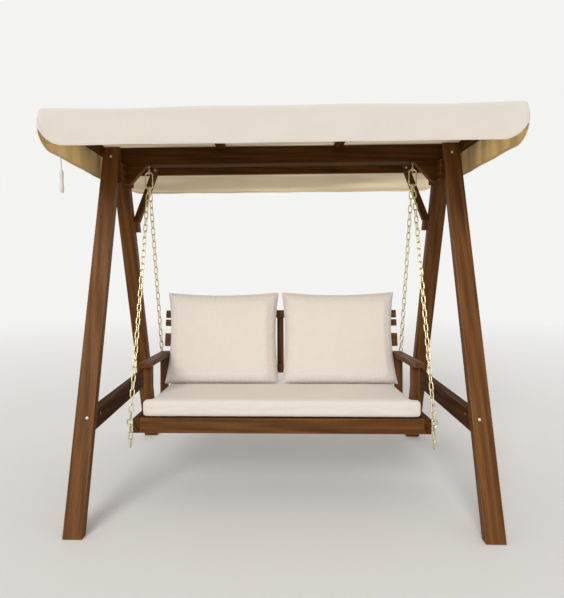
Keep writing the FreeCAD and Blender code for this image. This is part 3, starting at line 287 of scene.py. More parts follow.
def lit_through(tree, shader, cut, tint):
    """Painted daylight through the cloth: painted light in noise bands that stand for folds, and painted warm
    shade at the sides; pale elsewhere.
    """
    facing = put(tree, "SeparateXYZ", {0: put(tree, "TexCoord").outputs["Normal"]})
    aside = spread(tree, sums(tree, "ABSOLUTE", facing.outputs[0]), 0.5, 0.8)
    # painted light: noise bands that stand for lit folds set how strongly the inside emits light
    folds = cloudy(tree, scaled(tree, cut, (0.7, 11, 1)), 1.0, 2.0, 0.5)
    folds = spread(tree, folds, 0.40, 0.62, 0.15, 1.0)
    # painted shade: the inside's sides are tinted darker and warmer
    painted_side_shade = blend_colours(tree, aside, (1, 1, 1, 1), (0.80, 0.655, 0.40, 1))
    # painted light: the inside emits light of its own, dimmer and warmer at the sides
    painted_glow = blend_colours(tree, aside, (0.36, 0.305, 0.215, 1), (0.15, 0.102, 0.040, 1))
    feed(tree, shader, {"Emission Color": painted_glow, "Emission Strength": folds})
    return blend_colours(tree, 1.0, tint, painted_side_shade, "MULTIPLY")


def canvas(name, colour, stitch_line=False, lining=False):
    """Plain woven roof canvas whose threads follow the cloth's own map, in metres."""
    made, tree, shader = new_material(name)
    cut = put(tree, "UVMap").outputs[0]
    warp = bands(tree, cut, "X", 190.0, 0.4, 1.0)
    weft = bands(tree, cut, "Y", 190.0, 0.4, 1.0)
    weave = sums(tree, "MULTIPLY", warp, weft)
    slubs = cloudy(tree, scaled(tree, cut, (9, 260, 1)), 1.0, 2.0)
    slubs = sums(tree, "ADD", slubs, cloudy(tree, scaled(tree, cut, (260, 9, 1)), 1.0, 2.0))
    soil = cloudy(tree, cut, 4.5, 4.0, 0.6)
    # painted shade: darker where the threads dip between crossings
    tint = blend_colours(tree, weave, solid(colour, 0.93), (*colour, 1))
    tint = blend_colours(tree, spread(tree, slubs, 0.7, 1.3, 0.0, 0.35), tint, solid(colour, 0.88))
    tint = blend_colours(tree, spread(tree, soil, 0.42, 0.75, 0.0, 0.3), tint, solid(colour, 0.87))
    height = sums(tree, "MULTIPLY_ADD", slubs, 0.35, weave)
    if stitch_line:
        across = put(tree, "SeparateXYZ", {0: put(tree, "UVMap", uv_map="Seam").outputs[0]})
        line = sums(tree, "COMPARE", across.outputs[1], 0.0075, 0.00045)
        dash = spread(tree, sums(tree, "PINGPONG", across.outputs[0], 0.0019), 0.0004, 0.0006)
        thread = sums(tree, "MULTIPLY", line, dash)
        # painted shade: the stitch groove is coloured darker
        tint = blend_colours(tree, sums(tree, "MULTIPLY", line, 0.5), tint, solid(colour, 0.6))
        tint = blend_colours(tree, thread, tint, solid(colour, 0.94))
        height = sums(tree, "ADD", height, thread)
        height = sums(tree, "SUBTRACT", height, sums(tree, "MULTIPLY", line, 1.6))
    # the inside gets painted light and painted side shade
    if lining:
        tint = lit_through(tree, shader, cut, tint)
    feed(tree, shader, {
        "Base Color": tint, "Roughness": 0.88, "Sheen Weight": 0.15, "Specular IOR Level": 0.2})
    relief(tree, shader, height, 0.4, 0.00025)
    return made


def linen():
    """Soft linen weave with thick and thin threads, the same on every side of a cushion."""
    look = bpy.context.scene.swing_finishes
    colour = tuple(look.cushion_colour)
    made, tree, shader = new_material("cushion_linen")
    spots = put(tree, "TexCoord").outputs["Object"]
    rows = [bands(tree, spots, way, 210.0, 0.6, 1.0) for way in "XYZ"]
    weave = sums(tree, "ADD", sums(tree, "ADD", rows[0], rows[1]), rows[2])
    slubs = cloudy(tree, scaled(tree, spots, (14, 420, 420)), 1.0, 2.0)
    slubs = sums(tree, "ADD", slubs, cloudy(tree, scaled(tree, spots, (420, 60, 14)), 1.0, 2.0))
    fuzz = cloudy(tree, spots, 900.0, 2.0)
    cloud = cloudy(tree, spots, 7.0, 4.0, 0.6)
    # painted shade: darker where the threads dip between crossings
    tint = blend_colours(tree, spread(tree, weave, 0.8, 2.2), solid(colour, 0.9), solid(colour, 1.03))
    tint = blend_colours(tree, spread(tree, slubs, 0.75, 1.3, 0.0, 0.45), tint, solid(colour, 0.83))
    tint = blend_colours(tree, spread(tree, cloud, 0.4, 0.75, 0.0, 0.25), tint, solid(colour, 0.88))
    feed(tree, shader, {
        "Base Color": tint, "Roughness": 0.92, "Sheen Weight": 0.25, "Specular IOR Level": 0.15})
    height = sums(tree, "MULTIPLY_ADD", slubs, 0.8, sums(tree, "MULTIPLY_ADD", fuzz, 0.3, weave))
    relief(tree, shader, height, 0.4, 0.0004)
    return made


def painted_knob():
    """Turned wood under cream paint, with a faint grain and darker grooves."""
    look = bpy.context.scene.swing_finishes
    colour = tuple(look.canopy_colour)
    made, tree, shader = new_material("cream_toggle")
    spots = put(tree, "TexCoord").outputs["Object"]
    grain = cloudy(tree, scaled(tree, spots, (500, 500, 30)), 1.0, 3.0)
    tint = blend_colours(tree, spread(tree, grain, 0.45, 0.75), (*colour, 1), solid(colour, 0.72))
    feed(tree, shader, {"Base Color": tint, "Roughness": spread(tree, grain, 0.3, 0.7, 0.5, 0.65)})
    relief(tree, shader, grain, 0.2, 0.0003)
    return made


def braided_cord():
    """Cream cotton braid, its strands turning round the cord's own map."""
    look = bpy.context.scene.swing_finishes
    colour = tuple(look.canopy_colour)
    made, tree, shader = new_material("cream_cord")
    along = put(tree, "UVMap").outputs[0]
    one = bands(tree, scaled(tree, along, (9, 0.5, 1)), "DIAGONAL", 2.0)
    other = bands(tree, scaled(tree, along, (9, -0.5, 1)), "DIAGONAL", 2.0)
    braid = sums(tree, "MAXIMUM", one, other)
    # painted shade: darker in the hollows between the strands
    tint = blend_colours(tree, braid, solid(colour, 0.72), (*colour, 1))
    feed(tree, shader, {"Base Color": tint, "Roughness": 0.85})
    relief(tree, shader, braid, 0.5, 0.0004)
    return made


# settings a user would change

COLOUR = {"subtype": "COLOR", "size": 3, "min": 0, "max": 1}
LENGTH = {"subtype": "DISTANCE", "unit": "LENGTH"}


class SwingFinishes(bpy.types.PropertyGroup):
    """Colours of the wood, cloth and metal."""
    wood_dark: bpy.props.FloatVectorProperty(
        name="Wood, dark grain", description="Darkest streaks of the stain",
        default=(0.047, 0.0180, 0.0045), **COLOUR)
    wood_middle: bpy.props.FloatVectorProperty(
        name="Wood, middle", description="Main tone of the stain",
        default=(0.115, 0.0440, 0.0105), **COLOUR)
    wood_light: bpy.props.FloatVectorProperty(
        name="Wood, light grain", description="Lightest streaks of the stain",
        default=(0.185, 0.0780, 0.0220), **COLOUR)
    canopy_colour: bpy.props.FloatVectorProperty(
        name="Canopy", description="Outside of the roof cloth", default=(0.71, 0.66, 0.605), **COLOUR)
    # painted light and shade: the inside is the same cream cloth; this warm, bright colour stands for light
    # coming through it in the shade of the roof
    lining_painted_light_and_shade: bpy.props.FloatVectorProperty(
        name="Canopy, inside", description="Inside of the roof cloth", default=(0.88, 0.76, 0.55), **COLOUR)
    cushion_colour: bpy.props.FloatVectorProperty(
        name="Cushions", description="Linen of the cushions", default=(0.765, 0.707, 0.652), **COLOUR)
    chain_colour: bpy.props.FloatVectorProperty(
        name="Chains", description="Plating of the chains and hooks", default=(0.80, 0.70, 0.42), **COLOUR)
    bolt_colour: bpy.props.FloatVectorProperty(
        name="Bolts", description="Plating of the bolts and screws", default=(0.72, 0.68, 0.56), **COLOUR)


class SwingCanopy(bpy.types.PropertyGroup):
    """Sizes of the roof cloth."""
    half_width: bpy.props.FloatProperty(
        name="Half width", description="From the middle to the outside of a side valance",
        default=1.0436, **LENGTH)
    front: bpy.props.FloatProperty(
        name="Front", description="From the roof frame's origin to the front valance",
        default=-0.7372, **LENGTH)
    rear: bpy.props.FloatProperty(
        name="Rear", description="From the roof frame's origin to the rear valance",
        default=0.3842, **LENGTH)
    top: bpy.props.FloatProperty(
        name="Top", description="Height of the cloth over the rails", default=0.0202, **LENGTH)
    drop: bpy.props.FloatProperty(
        name="Valance drop", description="How far the valances hang", default=0.1635, **LENGTH)
    rear_extra: bpy.props.FloatProperty(
        name="Rear drop", description="How much lower the rear valance hangs", default=0.020, **LENGTH)
    corner: bpy.props.FloatProperty(
        name="Valance corner", description="Radius of a valance's low corners", default=0.112, **LENGTH)
    fold: bpy.props.FloatProperty(
        name="Edge fold", description="Radius of the cloth where it turns down", default=0.015, **LENGTH)
    thickness: bpy.props.FloatProperty(
        name="Thickness", description="Thickness of the canvas", default=0.0014, **LENGTH)
    hem: bpy.props.FloatProperty(
        name="Hem", description="Width of the turned hem", default=0.0105, **LENGTH)


class SwingCushions(bpy.types.PropertyGroup):
    """Sizes and filling of the cushions."""
    seat_depth: bpy.props.FloatProperty(
        name="Seat depth", description="Seat cushion, front to rear", default=0.463, **LENGTH)
    seat_thickness: bpy.props.FloatProperty(
        name="Seat thickness", description="Seat cushion at its edge", default=0.087, **LENGTH)
    back_width: bpy.props.FloatProperty(
        name="Back width", description="Back cushion, corner to corner", default=0.678, **LENGTH)
    back_height: bpy.props.FloatProperty(
        name="Back height", description="Back cushion, corner to corner", default=0.534, **LENGTH)
    back_thickness: bpy.props.FloatProperty(
        name="Back thickness", description="Back cushion at its middle", default=0.147, **LENGTH)
    pressure: bpy.props.FloatProperty(
        name="Pressure", description="How hard the filling pushes the covers out", default=4.0)


class SwingStudio(bpy.types.PropertyGroup):
    """Camera, floor and lights."""
    focal_share: bpy.props.FloatProperty(
        name="Focal share", description="Focal length over the picture's width", default=0.8670)
    pitch: bpy.props.FloatProperty(
        name="Pitch", description="How far the camera looks down, in degrees", default=2.449)
    yaw: bpy.props.FloatProperty(
        name="Yaw", description="How far the camera looks to the right, in degrees", default=-1.764)
    roll: bpy.props.FloatProperty(
        name="Roll", description="How far the camera is turned about its view, in degrees", default=-0.322)
    place: bpy.props.FloatVectorProperty(
        name="Camera place", description="Where the camera stands", subtype="XYZ",
        unit="LENGTH", default=(-0.0014, -2.7988, 1.225))
    shift: bpy.props.FloatVectorProperty(
        name="Lens shift", description="Sideways and upward shift of the lens", size=2,
        default=(0.0303, -0.0243))
    key: bpy.props.FloatProperty(
        name="Key light", description="Strength of the main soft light", default=1.9)
    fill: bpy.props.FloatProperty(
        name="Fill light", description="Strength of the light from all round", default=0.62)


# the roof cloth

BATTEN_SIDE = 0.325  # from the middle to a batten
BEAM_PLACE = -0.045  # the beam's middle, in the roof's frame
FOLD_PITCH = 0.1371  # from fold to fold of a side valance
CLOTH_STEP = 0.014  # size of the cloth's squares


def noisy(*place):
    """Smooth noise, from -1 to 1, at three coordinates."""
    return noise.noise(Vector(place))


class RoofCloth:
    """Where each point of the roof cloth lies, in the roof's own frame."""

    def __init__(self, sizes):
        self.sizes = sizes
        # how far down two valances are sewn together at a corner
        self.sewn = sizes.drop - sizes.corner

    def corner(self, side):
        """The radius of a valance's low corners."""
        return self.sizes.corner + (self.sizes.rear_extra if side == "rear" else 0)

    def drop(self, side):
        """How far a valance hangs at its middle."""
        return self.sewn + self.corner(side)

    def hang(self, side, gap):
        """How far a valance hangs at this gap from its corner."""
        radius = self.corner(side)
        if gap >= radius:
            return self.drop(side)
        return self.sewn + math.sqrt(max(radius ** 2 - (radius - gap) ** 2, 0))

    def rounded(self, point):
        """A point of the sharp box moved to its rounded form, with the way that it faces."""
        sizes = self.sizes
        radius = sizes.fold
        inner = Vector((
            min(max(point.x, radius - sizes.half_width), sizes.half_width - radius),
            min(max(point.y, sizes.front + radius), sizes.rear - radius),
            min(point.z, sizes.top - radius),
        ))
        out = point - inner
        if out.length < 1e-9:
            return point, Vector((0, 0, 1))
        out.normalize()
        return inner + out * radius, out

    def sag(self, x, y):
        """How far the roof sags between the battens and the rails."""
        side = abs(x)
        if side < BATTEN_SIDE:
            bay = 0.0022 * math.cos(math.pi * side / (2 * BATTEN_SIDE)) ** 2
        else:
            share = (side - BATTEN_SIDE) / (self.sizes.half_width - BATTEN_SIDE)
            bay = 0.0062 * math.sin(math.pi * min(max(share, 0), 1)) ** 2
        bay *= smooth(abs(y - BEAM_PLACE), 0.06, 0.26)
        return bay + 0.0008 * noisy(x * 3, y * 4, 1.7)

    def push(self, side, along, drop):
        """How far a valance stands out at one place, in its soft folds."""
        sizes = self.sizes
        low = drop / self.drop(side)
        if side in ("front", "rear"):
            gap = sizes.half_width - abs(along)
        else:
            gap = min(along - sizes.front, sizes.rear - along)
        clear = smooth(gap, 0, 0.10)
        if side == "front":
            wave = 0.0030 * math.sin(along / 0.105 + 0.7) + 0.0018 * math.sin(along / 0.049 + 2.1)
            wave += 0.0060 * noisy(gap * 9 - drop * 14, drop * 3, 4.2) * math.exp(-gap / 0.5)
        elif side == "rear":
            wave = 0.0055 * math.sin(along / 0.062 + 1.1) + 0.0025 * math.sin(along / 0.029)
        else:
            first = sizes.front + 0.012
            wave = 0.0020 * math.sin(math.pi * (along - first) / FOLD_PITCH)
            wave += 0.0006 * math.sin(2.7 * math.pi * (along - first) / FOLD_PITCH + 1)
        flare = {"front": 0.004, "rear": 0.005}.get(side, 0.001)
        ear = 0.0075 * math.exp(-(gap / 0.055) ** 2) * smooth(drop, 0.005, 0.05)
        ripple = 0.0012 * noisy(along * 9, drop * 14, 8.3 + len(side))
        stand = (wave * clear + flare) * smooth(low, 0.05, 1.0) * low ** 0.3
        return stand + ear + ripple * smooth(low, 0, 0.4)

    def at(self, side, along, drop, out=0.0):
        """A point of a valance, and a little outside it where a hem lies on it."""
        sizes = self.sizes
        height = sizes.top - drop
        if side == "front":
            sharp = Vector((along, sizes.front, height))
        elif side == "rear":
            sharp = Vector((along, sizes.rear, height))
        elif side == "left":
            sharp = Vector((-sizes.half_width, along, height))
        else:
            sharp = Vector((sizes.half_width, along, height))
        point, way = self.rounded(sharp)
        level = Vector((way.x, way.y, 0))
        if level.length > 1e-6:
            level.normalize()
        point = point + level * self.push(side, along, drop) + way * out
        point.z -= self.sag(point.x, point.y) * (1 - smooth(drop, 0, sizes.drop))
        return point

    def over(self, x, y):
        """A point of the roof."""
        point, _ = self.rounded(Vector((x, y, self.sizes.top)))
        point.z -= self.sag(x, y)
        return point

    def stations(self, low, high):
        """Places along an edge, close together at its rounded corners."""
        radius = self.sizes.corner
        angles = (0, 6, 12, 19, 27, 36, 45, 54, 63, 72, 81)
        near = [radius * (1 - math.cos(math.radians(angle))) for angle in angles]
        straight = high - low - 2 * radius
        count = round(straight / CLOTH_STEP)
        middle = [low + radius + straight * i / count for i in range(count + 1)]
        return [low + place for place in near] + middle + [high - place for place in reversed(near)]


SIDES = ("front", "right", "rear", "left")


def cloth_mesh(cloth):
    """The roof and its four valances as one sheet, sewn at the top of each corner."""
    sizes = cloth.sizes
    across = cloth.stations(-sizes.half_width, sizes.half_width)
    along = cloth.stations(sizes.front, sizes.rear)
    shape = bmesh.new()
    cut = shape.loops.layers.uv.new("UVMap")

    def patch(points, places):
        corners = [[shape.verts.new(point) for point in row] for row in points]
        for i in range(len(points) - 1):
            for k in range(len(points[0]) - 1):
                quad = [(i, k), (i + 1, k), (i + 1, k + 1), (i, k + 1)]
                face = shape.faces.new([corners[a][b] for a, b in quad])
                for loop, (a, b) in zip(face.loops, quad):
                    loop[cut].uv = places[a][b]

    patch([[cloth.over(x, y) for y in along] for x in across], [[(x, y) for y in along] for x in across])
    for side in SIDES:
        spots = across if side in ("front", "rear") else along
        low, high = spots[0], spots[-1]
        points, places = [], []
        for spot in spots:
            hang = cloth.hang(side, min(spot - low, high - spot))
            fold = sizes.fold
            drops = [fold * i / 4 for i in range(5)] + [fold + (hang - fold) * i / 13 for i in range(1, 14)]
            points.append([cloth.at(side, spot, drop) for drop in drops])
            if side in ("front", "rear"):
                sign = -1 if side == "front" else 1
                edge = sizes.front if side == "front" else sizes.rear
                places.append([(spot, edge + sign * drop) for drop in drops])
            else:
                sign = -1 if side == "left" else 1
                places.append([(sign * (sizes.half_width + drop), spot) for drop in drops])
        patch(points, places)
    bmesh.ops.remove_doubles(shape, verts=shape.verts, dist=0.00005)
    bmesh.ops.recalc_face_normals(shape, faces=shape.faces)
    if sum(face.normal.z * face.calc_area() for face in shape.faces) < 0:
        bmesh.ops.reverse_faces(shape, faces=shape.faces)
    mesh = bpy.data.meshes.new("roof_canvas")
    shape.to_mesh(mesh)
    shape.free()
    return mesh


def hem_outline(cloth, side):
    """Places along one valance's low edge, each with the direction in from the edge."""
    sizes = cloth.sizes
    if side in ("front", "rear"):
        low, high = -sizes.half_width, sizes.half_width
    else:
        low, high = sizes.front, sizes.rear
    radius = cloth.corner(side)

    def bend(end, sign, angle):
        turn = math.radians(angle)
        across, down = math.cos(turn), math.sin(turn)
        return end + sign * radius * (1 - across), cloth.sewn + radius * down, sign * across, -down

    straight = high - low - 2 * radius
    count = round(straight / CLOTH_STEP)
    found = [bend(low, 1, angle) for angle in range(0, 91, 6)]
    found += [(low + radius + straight * i / count, cloth.drop(side), 0, -1) for i in range(1, count)]
    return found + [bend(high, -1, angle) for angle in range(90, -1, -6)]


def hem_mesh(cloth):
    """The turned hem that lies round the low edge of each valance, inside and out."""
    sizes = cloth.sizes
    wide = sizes.hem
    thick = sizes.thickness
    # how far in from the edge, and how far out from the cloth's face; the inside mirrors the outside
    outside = [(wide, 0.0001), (wide - 0.0008, 0.0009), (wide * 0.62, 0.0010),
               (0.0015, 0.0012), (-0.0006, 0.0008)]
    section = outside + [(depth, -thick - out) for depth, out in reversed(outside)]
    shape = bmesh.new()
    seam = shape.loops.layers.uv.new("UVMap")
    stitch = shape.loops.layers.uv.new("Seam")
    for side in SIDES:
        rows = []
        run = 0.0
        before = None
        for along, drop, in_along, in_drop in hem_outline(cloth, side):
            ring = []
            for depth, out in section:
                place = cloth.at(side, along + in_along * depth, max(drop + in_drop * depth, 0), out)
                ring.append(shape.verts.new(place))
            if before is not None:
                run += (ring[3].co - before).length
            before = ring[3].co.copy()
            rows.append((ring, run))
        for (ring, start), (following, end) in zip(rows, rows[1:]):
            for k in range(len(section)):
                after = (k + 1) % len(section)
                face = shape.faces.new([ring[k], following[k], following[after], ring[after]])
                face.material_index = 1 if k > 3 else 0
                near, far = section[k][0], section[after][0]
                spots = [(start, near), (end, near), (end, far), (start, far)]
                for loop, spot in zip(face.loops, spots):
                    loop[seam].uv = spot
                    loop[stitch].uv = spot
        for ring, _ in (rows[0], rows[-1]):
            shape.faces.new(ring)
    bmesh.ops.recalc_face_normals(shape, faces=shape.faces)
    mesh = bpy.data.meshes.new("roof_hem")
    shape.to_mesh(mesh)
    shape.free()
    return mesh


def mesh_object(name, mesh):
    """A new object that shows a mesh."""
    made = bpy.data.objects.new(name, mesh)
    bpy.context.scene.collection.objects.link(made)
    return made


class SWING_OT_canopy_cloth(bpy.types.Operator):
    """Drape the roof cloth over its rails, with soft valances, sewn corners and a stitched hem"""
    bl_idname = "swing.canopy_cloth"
    bl_label = "Canopy Cloth"

    def execute(self, context):
        look = context.scene.swing_finishes
        sizes = context.scene.swing_canopy
        cloth = RoofCloth(sizes)
        roof = mesh_object("roof_canvas", cloth_mesh(cloth))
        roof.data.materials.append(canvas("cream_canvas", tuple(look.canopy_colour)))
        # the inside's colour is painted light and shade
        roof.data.materials.append(canvas("canvas_inside_painted_light", tuple(look.lining_painted_light_and_shade), lining=True))
        wall = roof.modifiers.new("Canvas", "SOLIDIFY")
        wall.thickness = sizes.thickness
        wall.offset = -1
        wall.material_offset = 1
        apply_all(roof)
        set_in(roof, ROOF)
        hem = mesh_object("roof_hem", hem_mesh(cloth))
        set_in(hem, ROOF)
        finish_piece(roof, None, "frame", "canopy_cloth", "canopy_cover")
        hem.data.materials.append(canvas("cream_hem", times(look.canopy_colour, 0.97), True))
        # the hem's inside also gets painted light and shade
        hem.data.materials.append(canvas("hem_inside_painted_light", tuple(look.lining_painted_light_and_shade), True, True))
        finish_piece(hem, None, "frame", "canopy_cloth")
        deep = sizes.rear - sizes.front
        wide = 2 * sizes.half_width
        rest = 1 - math.pi / 4
        area = wide * deep + 2 * sizes.drop * (wide + deep) - 6 * sizes.corner ** 2 * rest
        area += wide * sizes.rear_extra - 2 * cloth.corner("rear") ** 2 * rest
        rails = ["canopy_front_rail", "canopy_rear_rail"]
        rails += [f"canopy_{kind}_{side}" for kind in ("side_rail", "batten") for side in ("left", "right")]
        return {"FINISHED"}


# the tie cord

CORD_START = Vector((-1.0428, -0.5455, 1.7573))
CORD_ROUTE = [(0, 0, 0), (0.012, -0.001, -0.005), (0.024, -0.002, -0.014), (0.031, -0.001, -0.028),
              (0.033, 0, -0.052), (0.033, 0.0005, -0.091)]


class SWING_OT_tie_cord(bpy.types.Operator):
    """Hang the tie cord inside the left valance and paint its toggle"""
    bl_idname = "swing.tie_cord"
    bl_label = "Tie Cord"

    def execute(self, context):
        line = bpy.data.curves.new("tie_line", "CURVE")
        line.dimensions = "3D"
        route = line.splines.new("NURBS")
        points = [CORD_START + Vector(step) for step in CORD_ROUTE]
        route.points.add(len(points) - 1)
        for spot, point in zip(route.points, points):
            spot.co = (*point, 1)
        route.order_u = 3
        route.use_endpoint_u = True
        route.resolution_u = 10
        line.bevel_depth = 0.00225
        line.bevel_resolution = 4
        line.use_fill_caps = True
        cord = mesh_object("tie_line", line)
        line.materials.append(braided_cord())
        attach(cord, "frame")
        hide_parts("tie_cord")
        paint(["tie_toggle"], painted_knob())
        return {"FINISHED"}


# cushions

PAD_STEP = 0.0085  # size of the cushions' squares
SWELL_CAP = 0.006  # how far the filling may push a cover out


def remesh(obj):
    """Give a cushion an even skin of small squares."""
    select_only(obj)
    skin = obj.modifiers.new("Skin", "REMESH")
    skin.mode = "VOXEL"
    skin.voxel_size = PAD_STEP
    skin.use_smooth_shade = True
    bpy.ops.object.modifier_apply(modifier=skin.name)


def swell(obj, pressure, frames, bending=0.5, tension=15.0, free=lambda start: 1.0):
    """Let the cover swell as cloth under pressure, with no point further out than the cap."""
    rest = [vertex.co.copy() for vertex in obj.data.vertices]
    select_only(obj)
    cover = obj.modifiers.new("Cover", "CLOTH")
    cover.settings.quality = 5
    cover.settings.mass = 0.3
    cover.settings.tension_stiffness = tension
    cover.settings.compression_stiffness = tension
    cover.settings.shear_stiffness = tension / 3
    cover.settings.bending_stiffness = bending
    cover.settings.use_pressure = True
    cover.settings.uniform_pressure_force = pressure
    cover.settings.effector_weights.gravity = 0
    cover.point_cache.frame_start = 1
    cover.point_cache.frame_end = frames
    for number in range(1, frames + 1):
        bpy.context.scene.frame_set(number)
    bpy.ops.object.modifier_apply(modifier=cover.name)
    bpy.context.scene.frame_set(1)
    for vertex, start in zip(obj.data.vertices, rest):
        move = vertex.co - start
        vertex.co = start + move * (min(SWELL_CAP / max(move.length, 1e-9), 1) * free(start))


def divide(obj):
    """Smooth a cushion's skin by one step of subdivision."""
    select_only(obj)
    finer = obj.modifiers.new("Finer", "SUBSURF")
    finer.levels = 1
    finer.render_levels = 1
    bpy.ops.object.modifier_apply(modifier=finer.name)


class SWING_OT_seat_cushion(bpy.types.Operator):
    """Sew and fill the long seat cushion, with its front corners outside the arm posts"""
    bl_idname = "swing.seat_cushion"
    bl_label = "Seat Cushion"

    def execute(self, context):
        sizes = context.scene.swing_cushions
        # the underside's height; depth of the front corners, and the half widths there and behind them
        low = 0.0813
        ear, wide, narrow = 0.056, 0.699, 0.664
        # how much smaller the cover is before it is filled
        inset = 0.004
        bpy.ops.object.select_all(action="DESELECT")
        bpy.ops.mesh.primitive_cube_add(size=1)
        pad = rename("seat_pad")
        front = inset
        rear = sizes.seat_depth - inset
        edit(pad)
        bpy.ops.transform.resize(value=(2 * (narrow - inset), rear - ear, sizes.seat_thickness - inset))
        bpy.ops.transform.translate(value=(0, (rear + ear) / 2, low + (sizes.seat_thickness - inset) / 2))
        pick_faces(pad, lambda middle, normal: normal.y < -0.9)
        bpy.ops.mesh.extrude_region_move(TRANSFORM_OT_translate={"value": (0, front - ear + 0.006, 0)})
        for sign in (-1, 1):
            pick_faces(pad, lambda middle, normal: normal.x * sign > 0.9 and middle.y < ear)
            outwards = (sign * (wide - narrow), 0, 0)
            bpy.ops.mesh.extrude_region_move(TRANSFORM_OT_translate={"value": outwards})
        bpy.ops.mesh.select_all(action="SELECT")
        bpy.ops.mesh.normals_make_consistent(inside=False)
        close_edit()
        soft = pad.modifiers.new("Soft", "BEVEL")
        soft.width = 0.024
        soft.segments = 4
        soft.limit_method = "ANGLE"
        select_only(pad)
        bpy.ops.object.modifier_apply(modifier=soft.name)
        remesh(pad)
        swell(pad, sizes.pressure, 20)
        reach = max(vertex.co.x for vertex in pad.data.vertices if vertex.co.y > 2 * ear)
        ends = [vertex.co.y for vertex in pad.data.vertices]
        wider = (narrow - 0.0005) / reach
        longer = (sizes.seat_depth - 0.001) / (max(ends) - min(ends))
        start = min(ends)
        for vertex in pad.data.vertices:
            spot = vertex.co
            spot.x *= wider
            spot.y = 0.0005 + (spot.y - start) * longer
            share_x = min(abs(spot.x) / narrow, 1)
            share_y = min(max(spot.y / sizes.seat_depth, 0), 1)
            crown = 0.007 * (1 - share_x ** 6) * math.sin(math.pi * share_y) ** 0.6
            spot.z += crown * smooth(spot.z, low + 0.03, low + sizes.seat_thickness)
            spot.z += 0.0012 * noisy(spot.x * 7, spot.y * 9, 2.2) * smooth(spot.z, low + 0.05, low + 0.08)
            spot.y += 0.0016 * noisy(spot.x * 8, spot.z * 12, 5.1) * smooth(spot.y, 0.05, 0.0)
            spot.z = max(spot.z, low)
            if spot.y > ear - 0.004:
                spot.x = min(max(spot.x, -narrow), narrow)
        divide(pad)
        set_in(pad, SEAT)
        finish_piece(pad, linen(), "swing", "cushion_cloth", "seat_cushion")
        return {"FINISHED"}


def fullness(gap, reach):
    """How full a pad is at a distance from its seam, from 0 to 1."""
    share = 1 - min(max(gap / reach, 0), 1)
    return (1 - share ** 2.5) ** 0.46


def back_pad(sizes, name, seed):
    """One filled back cushion with a seam round it, drawn in between its corners."""
    wide = sizes.back_width
    tall = sizes.back_height
    columns, rows = round(wide / PAD_STEP), round(tall / PAD_STEP)
    bpy.ops.object.select_all(action="DESELECT")
    bpy.ops.mesh.primitive_grid_add(x_subdivisions=columns, y_subdivisions=rows, size=1)
    pad = rename(name)
    edit(pad)
    bpy.ops.transform.resize(value=(wide, tall, 1))
    bpy.ops.mesh.extrude_region_move(TRANSFORM_OT_translate={"value": (0, 0, 0.004)})
    bpy.ops.mesh.select_all(action="SELECT")
    bpy.ops.mesh.normals_make_consistent(inside=False)
    close_edit()
    # how far the seam lies in front of the back boards, and the width of its flat edge
    seam = 0.080
    lip = 0.0060

    def gaps(spot):
        return wide / 2 - abs(spot.x), tall / 2 - abs(spot.y)

    for vertex in pad.data.vertices:
        spot = vertex.co
        gap_x, gap_y = gaps(spot)
        gap = min(gap_x, gap_y)
        share_x = 2 * spot.x / wide
        share_y = 2 * spot.y / tall
        under = 0.07 if spot.y < 0 else 0.12
        fill = fullness(gap_x - lip, 0.12) * fullness(gap_y - lip, under)
        along = spot.y if gap_x < gap_y else spot.x
        wobble = noisy(along * 9, seed, 2.0)
        near = math.exp(-gap / 0.03) * smooth(gap, 0.002, 0.02)
        pucker = 0.0065 * math.sin(along / 0.0046 + 6 * wobble) * near * (0.3 + abs(wobble))
        radial = noisy(spot.x * 13, spot.y * 5, seed) + noisy(spot.x * 4, spot.y * 15, seed + 7)
        radial *= 0.0045 * fill * (1.15 - fill)
        if spot.z > 0.002:
            depth = seam + (sizes.back_thickness - seam) * fill + pucker + radial + 0.002
        else:
            depth = seam * (1 - fill) + 0.3 * pucker - 0.002
        pull_x = (0.027 if spot.x > 0 else 0.020) * (1 - share_y ** 2)
        pull_y = (0.019 if spot.y > 0 else 0.002) * (1 - share_x ** 2)
        vertex.co = (spot.x - pull_x * share_x, spot.y - pull_y * share_y, depth)
    swell(pad, sizes.pressure, 12, 0.3, 12.0, lambda start: smooth(min(gaps(start)), 0.03, 0.07))
    # in the back's frame: the boards' front, and the cushion's inner side and foot
    rear, inner, foot = -0.0206, 0.008, 0.1655
    for vertex in pad.data.vertices:
        x, y, depth = vertex.co
        depth = min(max(depth, 0), sizes.back_thickness)
        rise = y + tall / 2
        settle = (depth * 0.213 - 0.003) * (1 - smooth(rise, 0.0, 0.22))
        vertex.co = (inner + wide / 2 + x, rear - depth, foot + rise - settle)
    divide(pad)
    return pad


class SWING_OT_back_cushions(bpy.types.Operator):
    """Sew and fill the two back cushions and lean them on the back"""
    bl_idname = "swing.back_cushions"
    bl_label = "Back Cushions"

    def execute(self, context):
        right = back_pad(context.scene.swing_cushions, "back_pad_right", 3.1)
        left = back_pad(context.scene.swing_cushions, "back_pad_left", 8.6)
        left.data.transform(Matrix.Scale(-1, 4, Vector((1, 0, 0))))
        left.data.flip_normals()
        cover = linen()
        for pad, side in ((right, "right"), (left, "left")):
            set_in(pad, BACK)
            finish_piece(pad, cover, "swing", "cushion_cloth", "back_cushion_" + side)
        return {"FINISHED"}


# finishes of the wood and metal

X_WAY = Vector((1, 0, 0))
Y_WAY = Vector((0, 1, 0))
Z_WAY = Vector((0, 0, 1))


def sloping(degrees):
    """The direction to the rear in a frame that leans back by these degrees."""
    return Vector((0, math.cos(math.radians(degrees)), -math.sin(math.radians(degrees))))


def pair(name):
    """A node's two sides."""
    return [name + "_left", name + "_right"]


